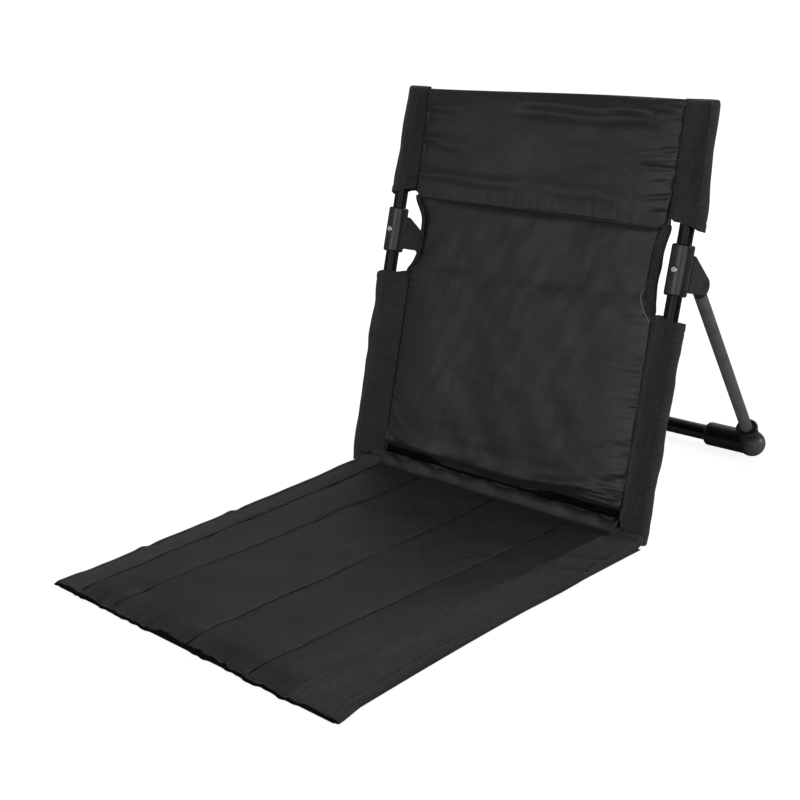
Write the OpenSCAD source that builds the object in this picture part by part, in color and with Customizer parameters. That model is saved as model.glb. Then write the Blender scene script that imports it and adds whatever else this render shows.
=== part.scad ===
// Folding lounge chair without legs in front: a cloth back on two poles, held up by a
// hinged rear leg frame, and a quilted seat mat that lies on the ground.
// The floor is z = 0, +Y points behind the chair and +X is its left-to-right line.

/* [Back frame] */
// Distance between the centre lines of the two side poles
pole_spacing = 390; // [340:1:460]
// Outer diameter of the poles and the base tube
tube_d = 16; // [14:0.5:18]
// Wall thickness of every tube
tube_wall = 1.2; // [1:0.1:2]
// Length of the back along the poles, from the floor to the top hem
back_l = 465; // [440:1:540]
// Lean of the back from upright, in degrees
back_lean = 18; // [8:0.5:20]
// Length of the headrest section along the poles
headrest_l = 128; // [110:1:150]
// Length of the open notch between the headrest sleeve and the back sleeve
notch_l = 99; // [95:1:120]
// Length of the base corner's arms, up to where the tubes butt against them
corner_arm_l = 14; // [12:0.5:20]
// Depth that each plug or spigot goes into its tube
plug_l = 22; // [12:1:30]

/* [Hinge bracket] */
// Length of the bracket's barrel along the pole
barrel_l = 54; // [48:1:62]
// Outer diameter of the barrel
barrel_d = 24; // [23:0.5:28]
// Distance from the headrest sleeve down to the barrel
barrel_drop = 20; // [14:1:22]
// Distance from the pole's centre line back to the leg pivot
pivot_reach = 44.5; // [42:0.5:56]
// Height of the pivot above the barrel's lower end
pivot_rise = 15; // [12:0.5:20]
// Thickness of each ear
ear_t = 3; // [2.5:0.1:4]
// Thickness of the hood that closes the ears at the top and stops the leg
hood_t = 2.5; // [2:0.1:3.5]
// Diameter of the pivot pin
pin_d = 6; // [5:0.1:7]
// Diameter of the bracket screw's head
screw_head_d = 7; // [5:0.1:8]

/* [Leg frame] */
// Distance from the crease back to the foot's centre
foot_reach = 281; // [250:1:330]
// Outer diameter of the leg tubes
leg_d = 14; // [12:0.5:16]
// Outer diameter of the rear cross bar
bar_d = 19; // [17:0.5:21]
// Diameter of the rounded heel of the foot elbow
heel_d = 32; // [29:0.5:36]
// Length of the foot elbow's arm along the cross bar
foot_arm_l = 60; // [50:1:75]
// Length of the foot elbow's socket along the leg
foot_socket_l = 32; // [28:1:40]

/* [Seat mat] */
// Length of the seat mat from the crease to the front hem
seat_l = 426; // [380:1:500]
// How far the mat's sides lie inside the outer edges of the pole sleeves
seat_inset = 3.5; // [0:0.5:12]
// Width of the plain border strip on each side
border_w = 43; // [36:1:50]
// Height of the mat along its stitch lines and edges
stitch_h = 8; // [6:0.5:10]
// Extra height in the middle of each quilted channel
channel_crown = 6; // [3:0.5:8]
// Width of the front hem
front_hem_w = 10; // [8:0.5:14]

/* [Cloth] */
// Thickness of the doubled sleeve cloth
cloth_t = 1.2; // [0.8:0.1:1.6]
// Width of the flattened pole sleeves
sleeve_w = 39; // [37:0.5:44]
// How far the sleeves' middle lies inside the poles, where the seam strip is
sleeve_shift = 3; // [0:0.5:4]
// Thickness of the back panel at its seams
panel_edge_t = 5; // [4:0.5:6]
// Extra thickness at the middle of the back panel, on its front
panel_crown = 5; // [2:0.5:6]
// Width of the bound edge around each notch
binding_w = 8; // [6:0.5:10]
// Thickness of the bound edge
binding_t = 4; // [3:0.5:5]
// Radius of the notch's inner corners
notch_r = 12.5; // [8:0.5:13]

/* [Hidden] */

$fn = 48;
// How far every cutting shape runs past what it cuts
over = 1;
// Clearance of cloth from whatever it lies against
soft_gap = 0.3;
// Radial clearance of a plug in its tube
plug_gap = 0.15;
// Radial clearance of a tube in a moulded socket
socket_gap = 0.1;
// Radial clearance of the pivot pin
pin_gap = 0.05;
// Side clearance of the leg knuckle between the ears
knuckle_gap = 0.4;
// Clearance between the leg and the hood that stops it
stop_gap = 0.3;

tube_r = tube_d / 2;
tube_bore_r = tube_r - tube_wall;
leg_r = leg_d / 2;
leg_bore_r = leg_r - tube_wall;
pole_x = pole_spacing / 2;
sleeve_a = sleeve_w / 2;
sleeve_bore_b = tube_r + soft_gap;
sleeve_b = sleeve_bore_b + cloth_t;

// The base tube's centre is one sleeve radius above the floor
base_h = sleeve_b;
corner_s = base_h / cos(back_lean);
corner_y = base_h * tan(back_lean);

headrest_s = back_l - headrest_l;
notch_s = headrest_s - notch_l;
barrel_top_s = headrest_s - barrel_drop;
barrel_s = barrel_top_s - barrel_l;
barrel_mid_s = barrel_s + barrel_l / 2;
pivot_s = barrel_s + pivot_rise;

// The joint of the two pole halves sits above the bracket screw
screw_shank_d = 3.2;
screw_head_h = 1.6;
screw_l = 7;
screw_recess_w = 1.2;
joint_rise = 6;
joint_s = barrel_mid_s + joint_rise;
cap_h = 3;
cap_chamfer = 1.2;
cap_s = back_l - cloth_t - soft_gap - cap_h;

// Where the pivot is, seen from the side
pivot_y = pivot_s * sin(back_lean) + pivot_reach * cos(back_lean);
pivot_z = pivot_s * cos(back_lean) - pivot_reach * sin(back_lean);

heel_r = heel_d / 2;
// The heel's ball is cut flat where it stands
heel_flat = 0.8;
foot_h = heel_r - heel_flat;
leg_l = norm([foot_reach - pivot_y, foot_h - pivot_z]);
leg_tilt = atan2(foot_reach - pivot_y, pivot_z - foot_h);
// Angle between the open leg and the pole, seen from the bracket
leg_open = leg_tilt + back_lean;

// The whole chair is centred over the origin, front to back
centre_shift = (seat_l - foot_reach - heel_r) / 2;

hood_inner_r = leg_r + stop_gap;
nose_r = hood_inner_r + hood_t;
ear_in = leg_r + knuckle_gap;
ear_out = ear_in + ear_t;
// The ears leave the barrel this far inside its ends
ear_top_inset = 10;
ear_low_inset = 5;
barrel_r = barrel_d / 2;
barrel_round = 1.5;
barrel_bore_r = tube_r + socket_gap;
hood_root = barrel_r + stop_gap;
pin_head_rim = 1.6;
pin_head_r = pin_d / 2 + pin_head_rim;
pin_head_t = 1.2;

knuckle_l = 14;
bar_r = bar_d / 2;
foot_arm_wall = 5;
foot_arm_r = bar_r + foot_arm_wall;
foot_arm_round = 3;
foot_arm_core = 20;
foot_socket_wall = 5;
foot_socket_r = leg_r + foot_socket_wall;
foot_socket_floor = 10;
socket_lip_h = 4;
socket_lip_t = 1.2;
bar_l = pole_spacing - 2 * foot_arm_core;

// The seat hinge lies in front of everything that belongs to the back
hinge_gap = 0.4;
hinge_y = -sleeve_b / cos(back_lean) - hinge_gap;
hinge_rise = 3;
hinge_z = stitch_h + channel_crown + hinge_rise;
seat_rear_y = hinge_y - soft_gap;
underside_t = 1.2;
seat_half = pole_x - sleeve_shift + sleeve_a - seat_inset;
panel_half = seat_half - border_w;
seat_depth = seat_l + seat_rear_y;
border_edge_h = 5;
flap_t = cloth_t;

// Stitch lines across the mat, as shares of half the quilted panel's width
stitch_shares = [-1, -0.62, 0.09, 0.63, 1];
// Rows along the mat, as shares of its length from the crease
seat_row_shares = [0, 0.03, 0.08, 0.2, 0.35, 0.5, 0.65, 0.8, 0.9, 0.96, 1];
// Points across one quilted channel, as shares of its width
channel_shares = [0, 0.06, 0.2, 0.5, 0.8, 0.94];
// Points across a border strip, from its seam to its outer edge
border_shares = [0, 0.15, 0.5, 0.85, 1];
// Rows and columns of the back's panels, as shares of their length and width
panel_row_shares = [0, 0.03, 0.08, 0.16, 0.3, 0.5, 0.7, 0.84, 0.92, 0.97, 1];
panel_col_shares = [0, 0.04, 0.1, 0.22, 0.36, 0.5, 0.64, 0.78, 0.9, 0.96, 1];
headrest_row_shares = [0, 0.03, 0.08, 0.16, 0.3, 0.5, 0.66, 0.72, 0.77, 0.82, 0.88, 0.94, 0.98, 1];
notch_row_shares = [0.25, 0.5, 0.75];
rear_crown_share = 0.35;
// The slack fold across the headrest's upper right
fold_h = 3;
fold_from_share = 0.62;
fold_full_share = 0.84;
fold_height_share = 0.82;
fold_fall_share = 0.13;
fold_half_share = 0.06;
crease_drop_share = 0.3;
drawn_in = 5;

back_gap_x = pole_x - sleeve_shift - sleeve_a - soft_gap;
notch_in = tube_r + notch_r + soft_gap;
binding_x = pole_x - notch_in - binding_w;
binding_low_s = notch_s + soft_gap + notch_r + binding_w;
binding_high_s = headrest_s - soft_gap - notch_r - binding_w;
bend_x = pole_x - tube_r - soft_gap;
bend_r = notch_r + binding_w;
bend_turn = 15;
panel_low_s = corner_s + sleeve_b + soft_gap;

lens_n = 40;
// Outline of a flattened sleeve: an ellipse of half width a and half thickness b
function lens(a, b) = [for (k = [0:lens_n - 1]) [a * cos(k * 360 / lens_n), b * sin(k * 360 / lens_n)]];

// How full a cushion is at a share of its width, from 0 at the seams to 1 inside
function fullness(u) = 1 - pow(abs(2 * u - 1), 4);

module in_place() {
    translate([0, centre_shift, 0])
        children();
}

// Parts are drawn for the right-hand side, where x is positive, and mirrored for the left
module on_side(hand) {
    if (hand > 0) {
        children();
    } else {
        mirror([1, 0, 0])
            children();
    }
}

// Frame of the back: z runs up along the poles and y straight back from them
module on_back() {
    in_place()
        rotate([-back_lean, 0, 0])
            children();
}

module on_pole(hand) {
    on_side(hand)
        on_back()
            translate([pole_x, 0, 0])
                children();
}

// Frame of a leg: z runs up along the leg and the origin is the pivot
module on_leg(hand) {
    on_side(hand)
        in_place()
            translate([pole_x, pivot_y, pivot_z])
                rotate([leg_tilt, 0, 0])
                    children();
}

module tube(l, r) {
    difference() {
        cylinder(r = r, h = l);
        translate([0, 0, -over])
            cylinder(r = r - tube_wall, h = l + 2 * over);
    }
}

// A closed quilted slab over a grid. rows and cols are lists of shares, and at(u, v)
// gives [x, y, underside height, top height] at a share u across and v along.
module pad(cols, rows, at) {
    nx = len(cols);
    ny = len(rows);
    grid = [for (v = rows) for (u = cols) at(u, v)];
    points = concat([for (p = grid) [p.x, p.y, p[3]]], [for (p = grid) [p.x, p.y, p.z]]);
    function top(i, j) = j * nx + i;
    function low(i, j) = nx * ny + j * nx + i;
    faces = concat(
        [for (j = [0:ny - 2]) for (i = [0:nx - 2]) [top(i, j), top(i, j + 1), top(i + 1, j + 1)]],
        [for (j = [0:ny - 2]) for (i = [0:nx - 2]) [top(i, j), top(i + 1, j + 1), top(i + 1, j)]],
        [for (j = [0:ny - 2]) for (i = [0:nx - 2]) [low(i, j), low(i + 1, j + 1), low(i, j + 1)]],
        [for (j = [0:ny - 2]) for (i = [0:nx - 2]) [low(i, j), low(i + 1, j), low(i + 1, j + 1)]],
        [for (i = [0:nx - 2]) [low(i, 0), top(i, 0), top(i + 1, 0)]],
        [for (i = [0:nx - 2]) [low(i, 0), top(i + 1, 0), low(i + 1, 0)]],
        [for (i = [0:nx - 2]) [low(i + 1, ny - 1), top(i + 1, ny - 1), top(i, ny - 1)]],
        [for (i = [0:nx - 2]) [low(i + 1, ny - 1), top(i, ny - 1), low(i, ny - 1)]],
        [for (j = [0:ny - 2]) [low(0, j + 1), top(0, j + 1), top(0, j)]],
        [for (j = [0:ny - 2]) [low(0, j + 1), top(0, j), low(0, j)]],
        [for (j = [0:ny - 2]) [low(nx - 1, j), top(nx - 1, j), top(nx - 1, j + 1)]],
        [for (j = [0:ny - 2]) [low(nx - 1, j), top(nx - 1, j + 1), low(nx - 1, j + 1)]]
    );
    polyhedron(points = points, faces = faces, convexity = 6);
}

// Poles and base

module lower_pole(hand) {
    color([0.05, 0.05, 0.06])
        on_pole(hand)
            difference() {
                translate([0, 0, corner_s + corner_arm_l])
                    tube(joint_s - corner_s - corner_arm_l, tube_r);
                screw_hole(screw_shank_d / 2 + socket_gap);
            }
}

module upper_pole(hand) {
    color([0.05, 0.05, 0.06])
        on_pole(hand)
            translate([0, 0, joint_s])
                tube(cap_s - joint_s, tube_r);
}

module pole_cap(hand) {
    color([0.08, 0.08, 0.08])
        on_pole(hand)
            translate([0, 0, cap_s]) {
                cylinder(r = tube_r, h = cap_h - cap_chamfer);
                translate([0, 0, cap_h - cap_chamfer])
                    cylinder(r1 = tube_r, r2 = tube_r - cap_chamfer, h = cap_chamfer);
                translate([0, 0, -plug_l / 2])
                    cylinder(r = tube_bore_r - plug_gap, h = plug_l / 2 + cap_chamfer);
            }
}

module corner_arm() {
    cylinder(r = tube_r - plug_gap, h = corner_arm_l);
    cylinder(r = tube_bore_r - plug_gap, h = corner_arm_l + plug_l);
}

module base_corner(hand) {
    color([0.08, 0.08, 0.08])
        on_side(hand)
            in_place()
                translate([pole_x, corner_y, base_h]) {
                    sphere(r = tube_r);
                    rotate([-back_lean, 0, 0])
                        corner_arm();
                    rotate([0, -90, 0])
                        corner_arm();
                }
}

module base_tube() {
    color([0.05, 0.05, 0.06])
        in_place()
            translate([-pole_x + corner_arm_l, corner_y, base_h])
                rotate([0, 90, 0])
                    tube(pole_spacing - 2 * corner_arm_l, tube_r);
}

// Hinge bracket, its screw and its pin

// A hole for the bracket screw, through the front of the barrel into the pole
module screw_hole(r) {
    translate([0, 0, barrel_mid_s])
        rotate([90, 0, 0])
            cylinder(r = r, h = barrel_r + over);
}

module barrel() {
    rotate_extrude()
        polygon([
            [0, 0],
            [barrel_r - barrel_round, 0],
            [barrel_r, barrel_round],
            [barrel_r, barrel_l - barrel_round],
            [barrel_r - barrel_round, barrel_l],
            [0, barrel_l]
        ]);
}

// Tangent from a point outside a circle: side is 1 for the upper tangent, -1 for the lower
function tangent_dir(from, centre, r, side) =
    atan2(centre.y - from.y, centre.x - from.x) + side * asin(r / norm(centre - from));
function tangent_point(from, centre, r, side) =
    from + sqrt(pow(norm(centre - from), 2) - r * r)
        * [cos(tangent_dir(from, centre, r, side)), sin(tangent_dir(from, centre, r, side))];

pivot_at = [pivot_reach, pivot_s];
ear_top = [barrel_r, barrel_top_s - ear_top_inset];
ear_low = [barrel_r, barrel_s + ear_low_inset];
hood_dir = tangent_dir(ear_top, pivot_at, nose_r, 1);
hood_normal = [-sin(hood_dir), cos(hood_dir)];
hood_line_s = pivot_s + hood_inner_r * hood_normal.y
    - (pivot_reach + hood_inner_r * hood_normal.x - hood_root) * tan(hood_dir);
leg_dir = [sin(leg_open), -cos(leg_open)];
leg_normal = [cos(leg_open), sin(leg_open)];

// Side outline of the ears, in the plane of x = back and y = up along the pole
module ear_outline() {
    translate(pivot_at)
        circle(r = nose_r);
    polygon([
        [tube_r, ear_top.y],
        ear_top,
        tangent_point(ear_top, pivot_at, nose_r, 1),
        pivot_at,
        tangent_point(ear_low, pivot_at, nose_r, -1),
        ear_low,
        [tube_r, ear_low.y]
    ]);
}

// The room between the ears: the leg's sweep and the hollow under the hood
module ear_pocket_outline() {
    translate(pivot_at)
        circle(r = hood_inner_r);
    polygon([
        [hood_root, barrel_s - barrel_l],
        [hood_root, hood_line_s],
        pivot_at + hood_inner_r * hood_normal,
        pivot_at + hood_inner_r * leg_normal,
        pivot_at + hood_inner_r * leg_normal + barrel_l * leg_dir,
        [pivot_reach, barrel_s - barrel_l]
    ]);
}

// Turns a side outline into a slab of the given half width
module side_slab(half) {
    translate([-half, 0, 0])
        rotate([90, 0, 90])
            linear_extrude(2 * half)
                children();
}

module pin_axis() {
    translate([0, pivot_reach, pivot_s])
        rotate([0, 90, 0])
            children();
}

module hinge_bracket(hand) {
    color([0.27, 0.27, 0.29])
        on_pole(hand)
            difference() {
                union() {
                    translate([0, 0, barrel_s])
                        barrel();
                    side_slab(ear_out)
                        ear_outline();
                }
                side_slab(ear_in)
                    ear_pocket_outline();
                translate([0, 0, barrel_s - over])
                    cylinder(r = barrel_bore_r, h = barrel_l + 2 * over);
                pin_axis()
                    cylinder(r = pin_d / 2 + pin_gap, h = 2 * ear_out + 2 * over, center = true);
                pin_axis()
                    for (end = [-1, 1]) {
                        translate([0, 0, end * (ear_out - pin_head_t / 2 + over / 2)])
                            cylinder(r = pin_head_r + socket_gap, h = pin_head_t + over, center = true);
                    }
                screw_hole(screw_shank_d / 2 + socket_gap);
                translate([0, -barrel_r + screw_head_h / 2, barrel_mid_s])
                    rotate([90, 0, 0])
                        cylinder(r = screw_head_d / 2 + socket_gap, h = barrel_r);
            }
}

module bracket_screw(hand) {
    color([0.82, 0.82, 0.83])
        on_pole(hand)
            translate([0, -barrel_r + screw_head_h / 2, barrel_mid_s])
                rotate([90, 0, 0])
                    difference() {
                        union() {
                            translate([0, 0, -screw_l])
                                cylinder(r = screw_shank_d / 2, h = screw_l + screw_head_h / 2);
                            cylinder(r = screw_head_d / 2, h = screw_head_h / 2);
                            translate([0, 0, screw_head_h / 2])
                                cylinder(
                                    r1 = screw_head_d / 2,
                                    r2 = screw_head_d / 2 - screw_head_h / 2,
                                    h = screw_head_h / 2
                                );
                        }
                        for (turn = [0, 90]) {
                            rotate([0, 0, turn])
                                translate([-screw_head_d / 4, -screw_recess_w / 2, screw_head_h / 2])
                                    cube([screw_head_d / 2, screw_recess_w, screw_head_h]);
                        }
                    }
}

module pivot_pin(hand) {
    color([0.12, 0.12, 0.13])
        on_pole(hand)
            pin_axis() {
                cylinder(r = pin_d / 2, h = 2 * ear_out - pin_head_t, center = true);
                for (end = [-1, 1]) {
                    translate([0, 0, end * (ear_out - pin_head_t / 2)])
                        cylinder(r = pin_head_r, h = pin_head_t, center = true);
                }
            }
}

// Leg frame

module leg_knuckle(hand) {
    color([0.10, 0.10, 0.10])
        on_leg(hand)
            difference() {
                union() {
                    intersection() {
                        translate([0, 0, -knuckle_l])
                            cylinder(r = leg_r, h = knuckle_l + leg_r);
                        union() {
                            rotate([0, 90, 0])
                                cylinder(r = leg_r, h = 2 * leg_r, center = true);
                            translate([-leg_r, -leg_r, -knuckle_l])
                                cube([leg_d, leg_d, knuckle_l]);
                        }
                    }
                    translate([0, 0, -knuckle_l - plug_l])
                        cylinder(r = leg_bore_r - plug_gap, h = plug_l + over);
                }
                rotate([0, 90, 0])
                    cylinder(r = pin_d / 2 + pin_gap, h = leg_d + 2 * over, center = true);
            }
}

module leg_tube(hand) {
    color([0.29, 0.30, 0.30])
        on_leg(hand)
            translate([0, 0, -leg_l + foot_socket_floor])
                tube(leg_l - foot_socket_floor - knuckle_l, leg_r);
}

module foot_arm() {
    rotate([0, -90, 0])
        rotate_extrude()
            polygon([
                [0, 0],
                [foot_arm_r, 0],
                [foot_arm_r, foot_arm_l - foot_arm_round],
                [foot_arm_r - foot_arm_round, foot_arm_l],
                [0, foot_arm_l]
            ]);
}

module foot_elbow(hand) {
    color([0.13, 0.13, 0.13])
        difference() {
            on_leg(hand)
                translate([0, 0, -leg_l])
                    difference() {
                        union() {
                            sphere(r = heel_r);
                            cylinder(r = foot_socket_r, h = foot_socket_l);
                            translate([0, 0, foot_socket_l - socket_lip_h])
                                cylinder(r = foot_socket_r + socket_lip_t, h = socket_lip_h);
                            rotate([-leg_tilt, 0, 0])
                                foot_arm();
                        }
                        translate([0, 0, foot_socket_floor])
                            cylinder(r = leg_r + socket_gap, h = foot_socket_l);
                        rotate([0, -90, 0])
                            translate([0, 0, foot_arm_core])
                                cylinder(r = bar_r + socket_gap, h = foot_arm_l);
                    }
            translate([-pole_spacing, -back_l, -heel_d])
                cube([2 * pole_spacing, 2 * back_l, heel_d]);
        }
}

module rear_cross_bar() {
    color([0.05, 0.05, 0.06])
        in_place()
            translate([-bar_l / 2, foot_reach, foot_h])
                rotate([0, 90, 0])
                    tube(bar_l, bar_r);
}

// Cloth sleeves

module back_sleeve(hand) {
    color([0.17, 0.17, 0.16])
        difference() {
            on_pole(hand)
                translate([0, 0, -sleeve_w])
                    linear_extrude(notch_s + sleeve_w)
                        translate([-sleeve_shift, 0])
                            difference() {
                                polygon(lens(sleeve_a, sleeve_b));
                                polygon(lens(sleeve_a - cloth_t, sleeve_bore_b));
                            }
            translate([-pole_spacing, -back_l, -back_l])
                cube([2 * pole_spacing, 2 * back_l, back_l]);
            on_side(hand)
                in_place()
                    translate([pole_x, corner_y, base_h])
                        rotate([0, -90, 0])
                            cylinder(r = tube_r + socket_gap, h = sleeve_w);
        }
}

module headrest_sleeve(hand) {
    color([0.17, 0.17, 0.16])
        on_pole(hand)
            translate([-sleeve_shift, 0, headrest_s])
                difference() {
                    linear_extrude(headrest_l)
                        polygon(lens(sleeve_a, sleeve_b));
                    translate([0, 0, -over])
                        linear_extrude(headrest_l - cloth_t + over)
                            polygon(lens(sleeve_a - cloth_t, sleeve_bore_b));
                }
}

// The tunnel round the base tube, with the seam flap that holds the seat mat
module base_sleeve() {
    color([0.17, 0.17, 0.17])
        in_place()
            difference() {
                union() {
                    translate([-back_gap_x, corner_y, base_h])
                        rotate([0, 90, 0])
                            cylinder(r = sleeve_b, h = 2 * back_gap_x);
                    translate([-back_gap_x, hinge_y, 0])
                        cube([2 * back_gap_x, corner_y - hinge_y, flap_t]);
                }
                translate([-back_gap_x - over, corner_y, base_h])
                    rotate([0, 90, 0])
                        cylinder(r = sleeve_bore_b, h = 2 * back_gap_x + 2 * over);
            }
}

module quarter_bend() {
    intersection() {
        difference() {
            circle(r = bend_r);
            circle(r = notch_r);
        }
        translate([-bend_r, -bend_r])
            square(bend_r);
    }
}

module notch_binding(hand) {
    color([0.14, 0.14, 0.14])
        on_side(hand)
            on_back()
                translate([0, binding_t / 2, 0])
                    rotate([90, 0, 0])
                        linear_extrude(binding_t) {
                            translate([bend_x, binding_low_s])
                                quarter_bend();
                            translate([binding_x, binding_low_s])
                                square([binding_w, binding_high_s - binding_low_s]);
                            translate([bend_x, binding_high_s])
                                mirror([0, 1])
                                    quarter_bend();
                        }
}

// Padded panels of the back

module lay_on_back() {
    on_back()
        rotate([90, 0, 0])
            children();
}

// Half width of the back panel: it follows the bound edge of the notches
function back_half(s) =
    let (past = max(0, binding_low_s - s, s - binding_high_s))
    min(back_gap_x, bend_x - sqrt(max(0, bend_r * bend_r - past * past))) - soft_gap;

back_rows = concat(
    [for (v = panel_row_shares) panel_low_s + v * (notch_s - panel_low_s)],
    [for (turn = [0:bend_turn:90]) binding_low_s - bend_r * cos(turn)],
    [for (v = notch_row_shares) binding_low_s + v * (binding_high_s - binding_low_s)],
    [for (turn = [0:bend_turn:90]) binding_high_s + bend_r * sin(turn)],
    [headrest_s - soft_gap / 2]
);
back_panel_top = headrest_s - soft_gap / 2;

function back_panel_at(u, s) =
    let (v = (s - panel_low_s) / (back_panel_top - panel_low_s))
    let (swell = fullness(u) * fullness(v))
    [
        (2 * u - 1) * back_half(s),
        s,
        -panel_edge_t / 2 - rear_crown_share * panel_crown * swell,
        panel_edge_t / 2 + panel_crown * swell
    ];

module back_panel() {
    color([0.19, 0.19, 0.21])
        lay_on_back()
            pad(panel_col_shares, back_rows, function(u, s) back_panel_at(u, s));
}

// Height of the headrest's slack fold at a share u across and v up
function fold_at(u, v) =
    let (along = min(1, max(0, (u - fold_from_share) / (fold_full_share - fold_from_share))))
    let (away = abs(v - fold_height_share + fold_fall_share * (u - fold_from_share)))
    fold_h * along * max(0, 1 - away / fold_half_share);

function headrest_at(u, v) =
    let (swell = fullness(u) * fullness(v))
    [
        (2 * u - 1) * (back_gap_x - soft_gap),
        headrest_s + v * headrest_l,
        -panel_edge_t / 2 - rear_crown_share * panel_crown * swell,
        panel_edge_t / 2 + panel_crown * swell + fold_at(u, v)
    ];

module headrest_panel() {
    color([0.19, 0.19, 0.21])
        lay_on_back()
            pad(panel_col_shares, headrest_row_shares, function(u, v) headrest_at(u, v));
}

// Seat mat

// How much a side is drawn in between the crease and the front corner
function draw_at(v) = -drawn_in * v * v;
// How much of its full height the mat has at a share v from the crease
function rise_at(v) = 1 - crease_drop_share * pow(1 - v, 8);
function row_y(v) = seat_rear_y - v * (seat_depth - front_hem_w - soft_gap);

seat_cols = concat(
    [for (k = [0:len(stitch_shares) - 2]) for (c = channel_shares)
        stitch_shares[k] + c * (stitch_shares[k + 1] - stitch_shares[k])],
    [1]
);
function channel_of(u) = max([for (k = [0:len(stitch_shares) - 2]) u >= stitch_shares[k] ? k : 0]);
function channel_swell(u) =
    let (k = channel_of(u))
    let (c = (u - stitch_shares[k]) / (stitch_shares[k + 1] - stitch_shares[k]))
    sqrt(max(0, sin(180 * c)));

function seat_panel_at(u, v) =
    [
        u * (panel_half + draw_at(v)),
        row_y(v),
        underside_t,
        (stitch_h + channel_crown * channel_swell(u) * fullness(0.5 + v / 2)) * rise_at(v)
    ];

module seat_panel() {
    color([0.18, 0.18, 0.20])
        in_place()
            mirror([0, 1, 0])
                pad(seat_cols, seat_row_shares, function(u, v)
                    let (p = seat_panel_at(u, v)) [p.x, -p.y, p.z, p[3]]);
}

function border_at(side, u, v) =
    let (inner = panel_half + draw_at(v) + soft_gap)
    let (height = stitch_h - (stitch_h - border_edge_h) * pow(u, 3))
    [
        side * (inner + u * (border_w - soft_gap)),
        row_y(v),
        underside_t,
        height * rise_at(v)
    ];

module seat_border(side) {
    shares = side > 0 ? border_shares : [for (k = [len(border_shares) - 1:-1:0]) border_shares[k]];
    color([0.17, 0.17, 0.16])
        in_place()
            mirror([0, 1, 0])
                pad(shares, seat_row_shares, function(u, v)
                    let (p = border_at(side, u, v)) [p.x, -p.y, p.z, p[3]]);
}

module seat_front_hem() {
    hem_y = -seat_l;
    half = seat_half + draw_at(1);
    color([0.15, 0.15, 0.15])
        in_place()
            translate([0, hem_y, underside_t])
                rotate([90, 0, 90])
                    translate([0, 0, -half])
                        linear_extrude(2 * half)
                            polygon([
                                [0, 0],
                                [0, stitch_h / 2],
                                [front_hem_w / 3, stitch_h - underside_t],
                                [front_hem_w, stitch_h - underside_t],
                                [front_hem_w, 0]
                            ]);
}

module seat_underside() {
    color([0.11, 0.11, 0.11])
        in_place()
            linear_extrude(underside_t)
                polygon([
                    [-seat_half, seat_rear_y],
                    [seat_half, seat_rear_y],
                    [seat_half + draw_at(1), -seat_l],
                    [-seat_half - draw_at(1), -seat_l]
                ]);
}

lower_pole(-1);  // lower_pole_left
lower_pole(1);  // lower_pole_right
upper_pole(-1);  // upper_pole_left
upper_pole(1);  // upper_pole_right
pole_cap(-1);  // pole_cap_left
pole_cap(1);  // pole_cap_right
base_tube();
base_corner(-1);  // base_corner_left
base_corner(1);  // base_corner_right
hinge_bracket(-1);  // hinge_bracket_left
hinge_bracket(1);  // hinge_bracket_right
union() {  // bracket_screws
    bracket_screw(-1);
    bracket_screw(1);
}
union() {  // pivot_pins
    pivot_pin(-1);
    pivot_pin(1);
}
back_panel();
headrest_panel();
back_sleeve(-1);  // back_sleeve_left
back_sleeve(1);  // back_sleeve_right
headrest_sleeve(-1);  // headrest_sleeve_left
headrest_sleeve(1);  // headrest_sleeve_right
notch_binding(-1);  // notch_binding_left
notch_binding(1);  // notch_binding_right
base_sleeve();
leg_tube(-1);  // leg_tube_left
leg_tube(1);  // leg_tube_right
leg_knuckle(-1);  // leg_knuckle_left
leg_knuckle(1);  // leg_knuckle_right
foot_elbow(-1);  // foot_elbow_left
foot_elbow(1);  // foot_elbow_right
rear_cross_bar();
seat_panel();
seat_border(-1);  // seat_border_left
seat_border(1);  // seat_border_right
seat_front_hem();
seat_underside();
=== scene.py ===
"""Looks of the folding lounge chair: cloth, seams, moulded parts, tubes, light and camera.

Lengths are in metres, apart from the rows given to mm(), waves() and creases(), which are in
millimetres. Bare numbers in the forms below are heights, places and widths that were fitted to
crops of the photo.

The back's own coordinates are x across, s up along the poles from the crease, and front, the
distance that a point stands out of the back's middle plane. A mat point's row is how far in
front of the crease it lies.
"""

import math

import bmesh
import bpy
import numpy as np
from mathutils import Matrix, Vector


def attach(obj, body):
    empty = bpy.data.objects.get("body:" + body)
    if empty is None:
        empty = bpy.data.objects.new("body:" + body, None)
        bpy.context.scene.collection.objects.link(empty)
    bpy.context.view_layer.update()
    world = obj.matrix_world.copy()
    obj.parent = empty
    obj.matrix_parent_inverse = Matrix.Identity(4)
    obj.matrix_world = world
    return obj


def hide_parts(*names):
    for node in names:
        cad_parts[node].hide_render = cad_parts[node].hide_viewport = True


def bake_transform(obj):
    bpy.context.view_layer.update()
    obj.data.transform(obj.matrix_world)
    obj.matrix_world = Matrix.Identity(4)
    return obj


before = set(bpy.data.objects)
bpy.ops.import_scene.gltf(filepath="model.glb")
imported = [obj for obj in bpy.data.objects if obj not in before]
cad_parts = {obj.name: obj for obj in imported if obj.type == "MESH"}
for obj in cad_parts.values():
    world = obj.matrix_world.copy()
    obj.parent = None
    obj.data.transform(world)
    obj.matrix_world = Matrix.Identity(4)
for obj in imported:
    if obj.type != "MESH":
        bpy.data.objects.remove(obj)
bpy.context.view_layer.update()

# Sizes shared with the solids

LEAN = math.radians(18)
CREASE_Y = 0.0645
POLE_X = 0.195
TUBE_R = 0.008
BACK_TOP = 0.465
SLEEVE_TOP = 0.238
SEAM_X = 0.172
HEAD_LOW = 0.337
ROLL_H = 0.0095
SEAT_L = 0.426
SEAT_HALF = 0.208
STITCH_LINES = (-0.165, -0.1023, 0.0149, 0.104, 0.165)
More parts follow.
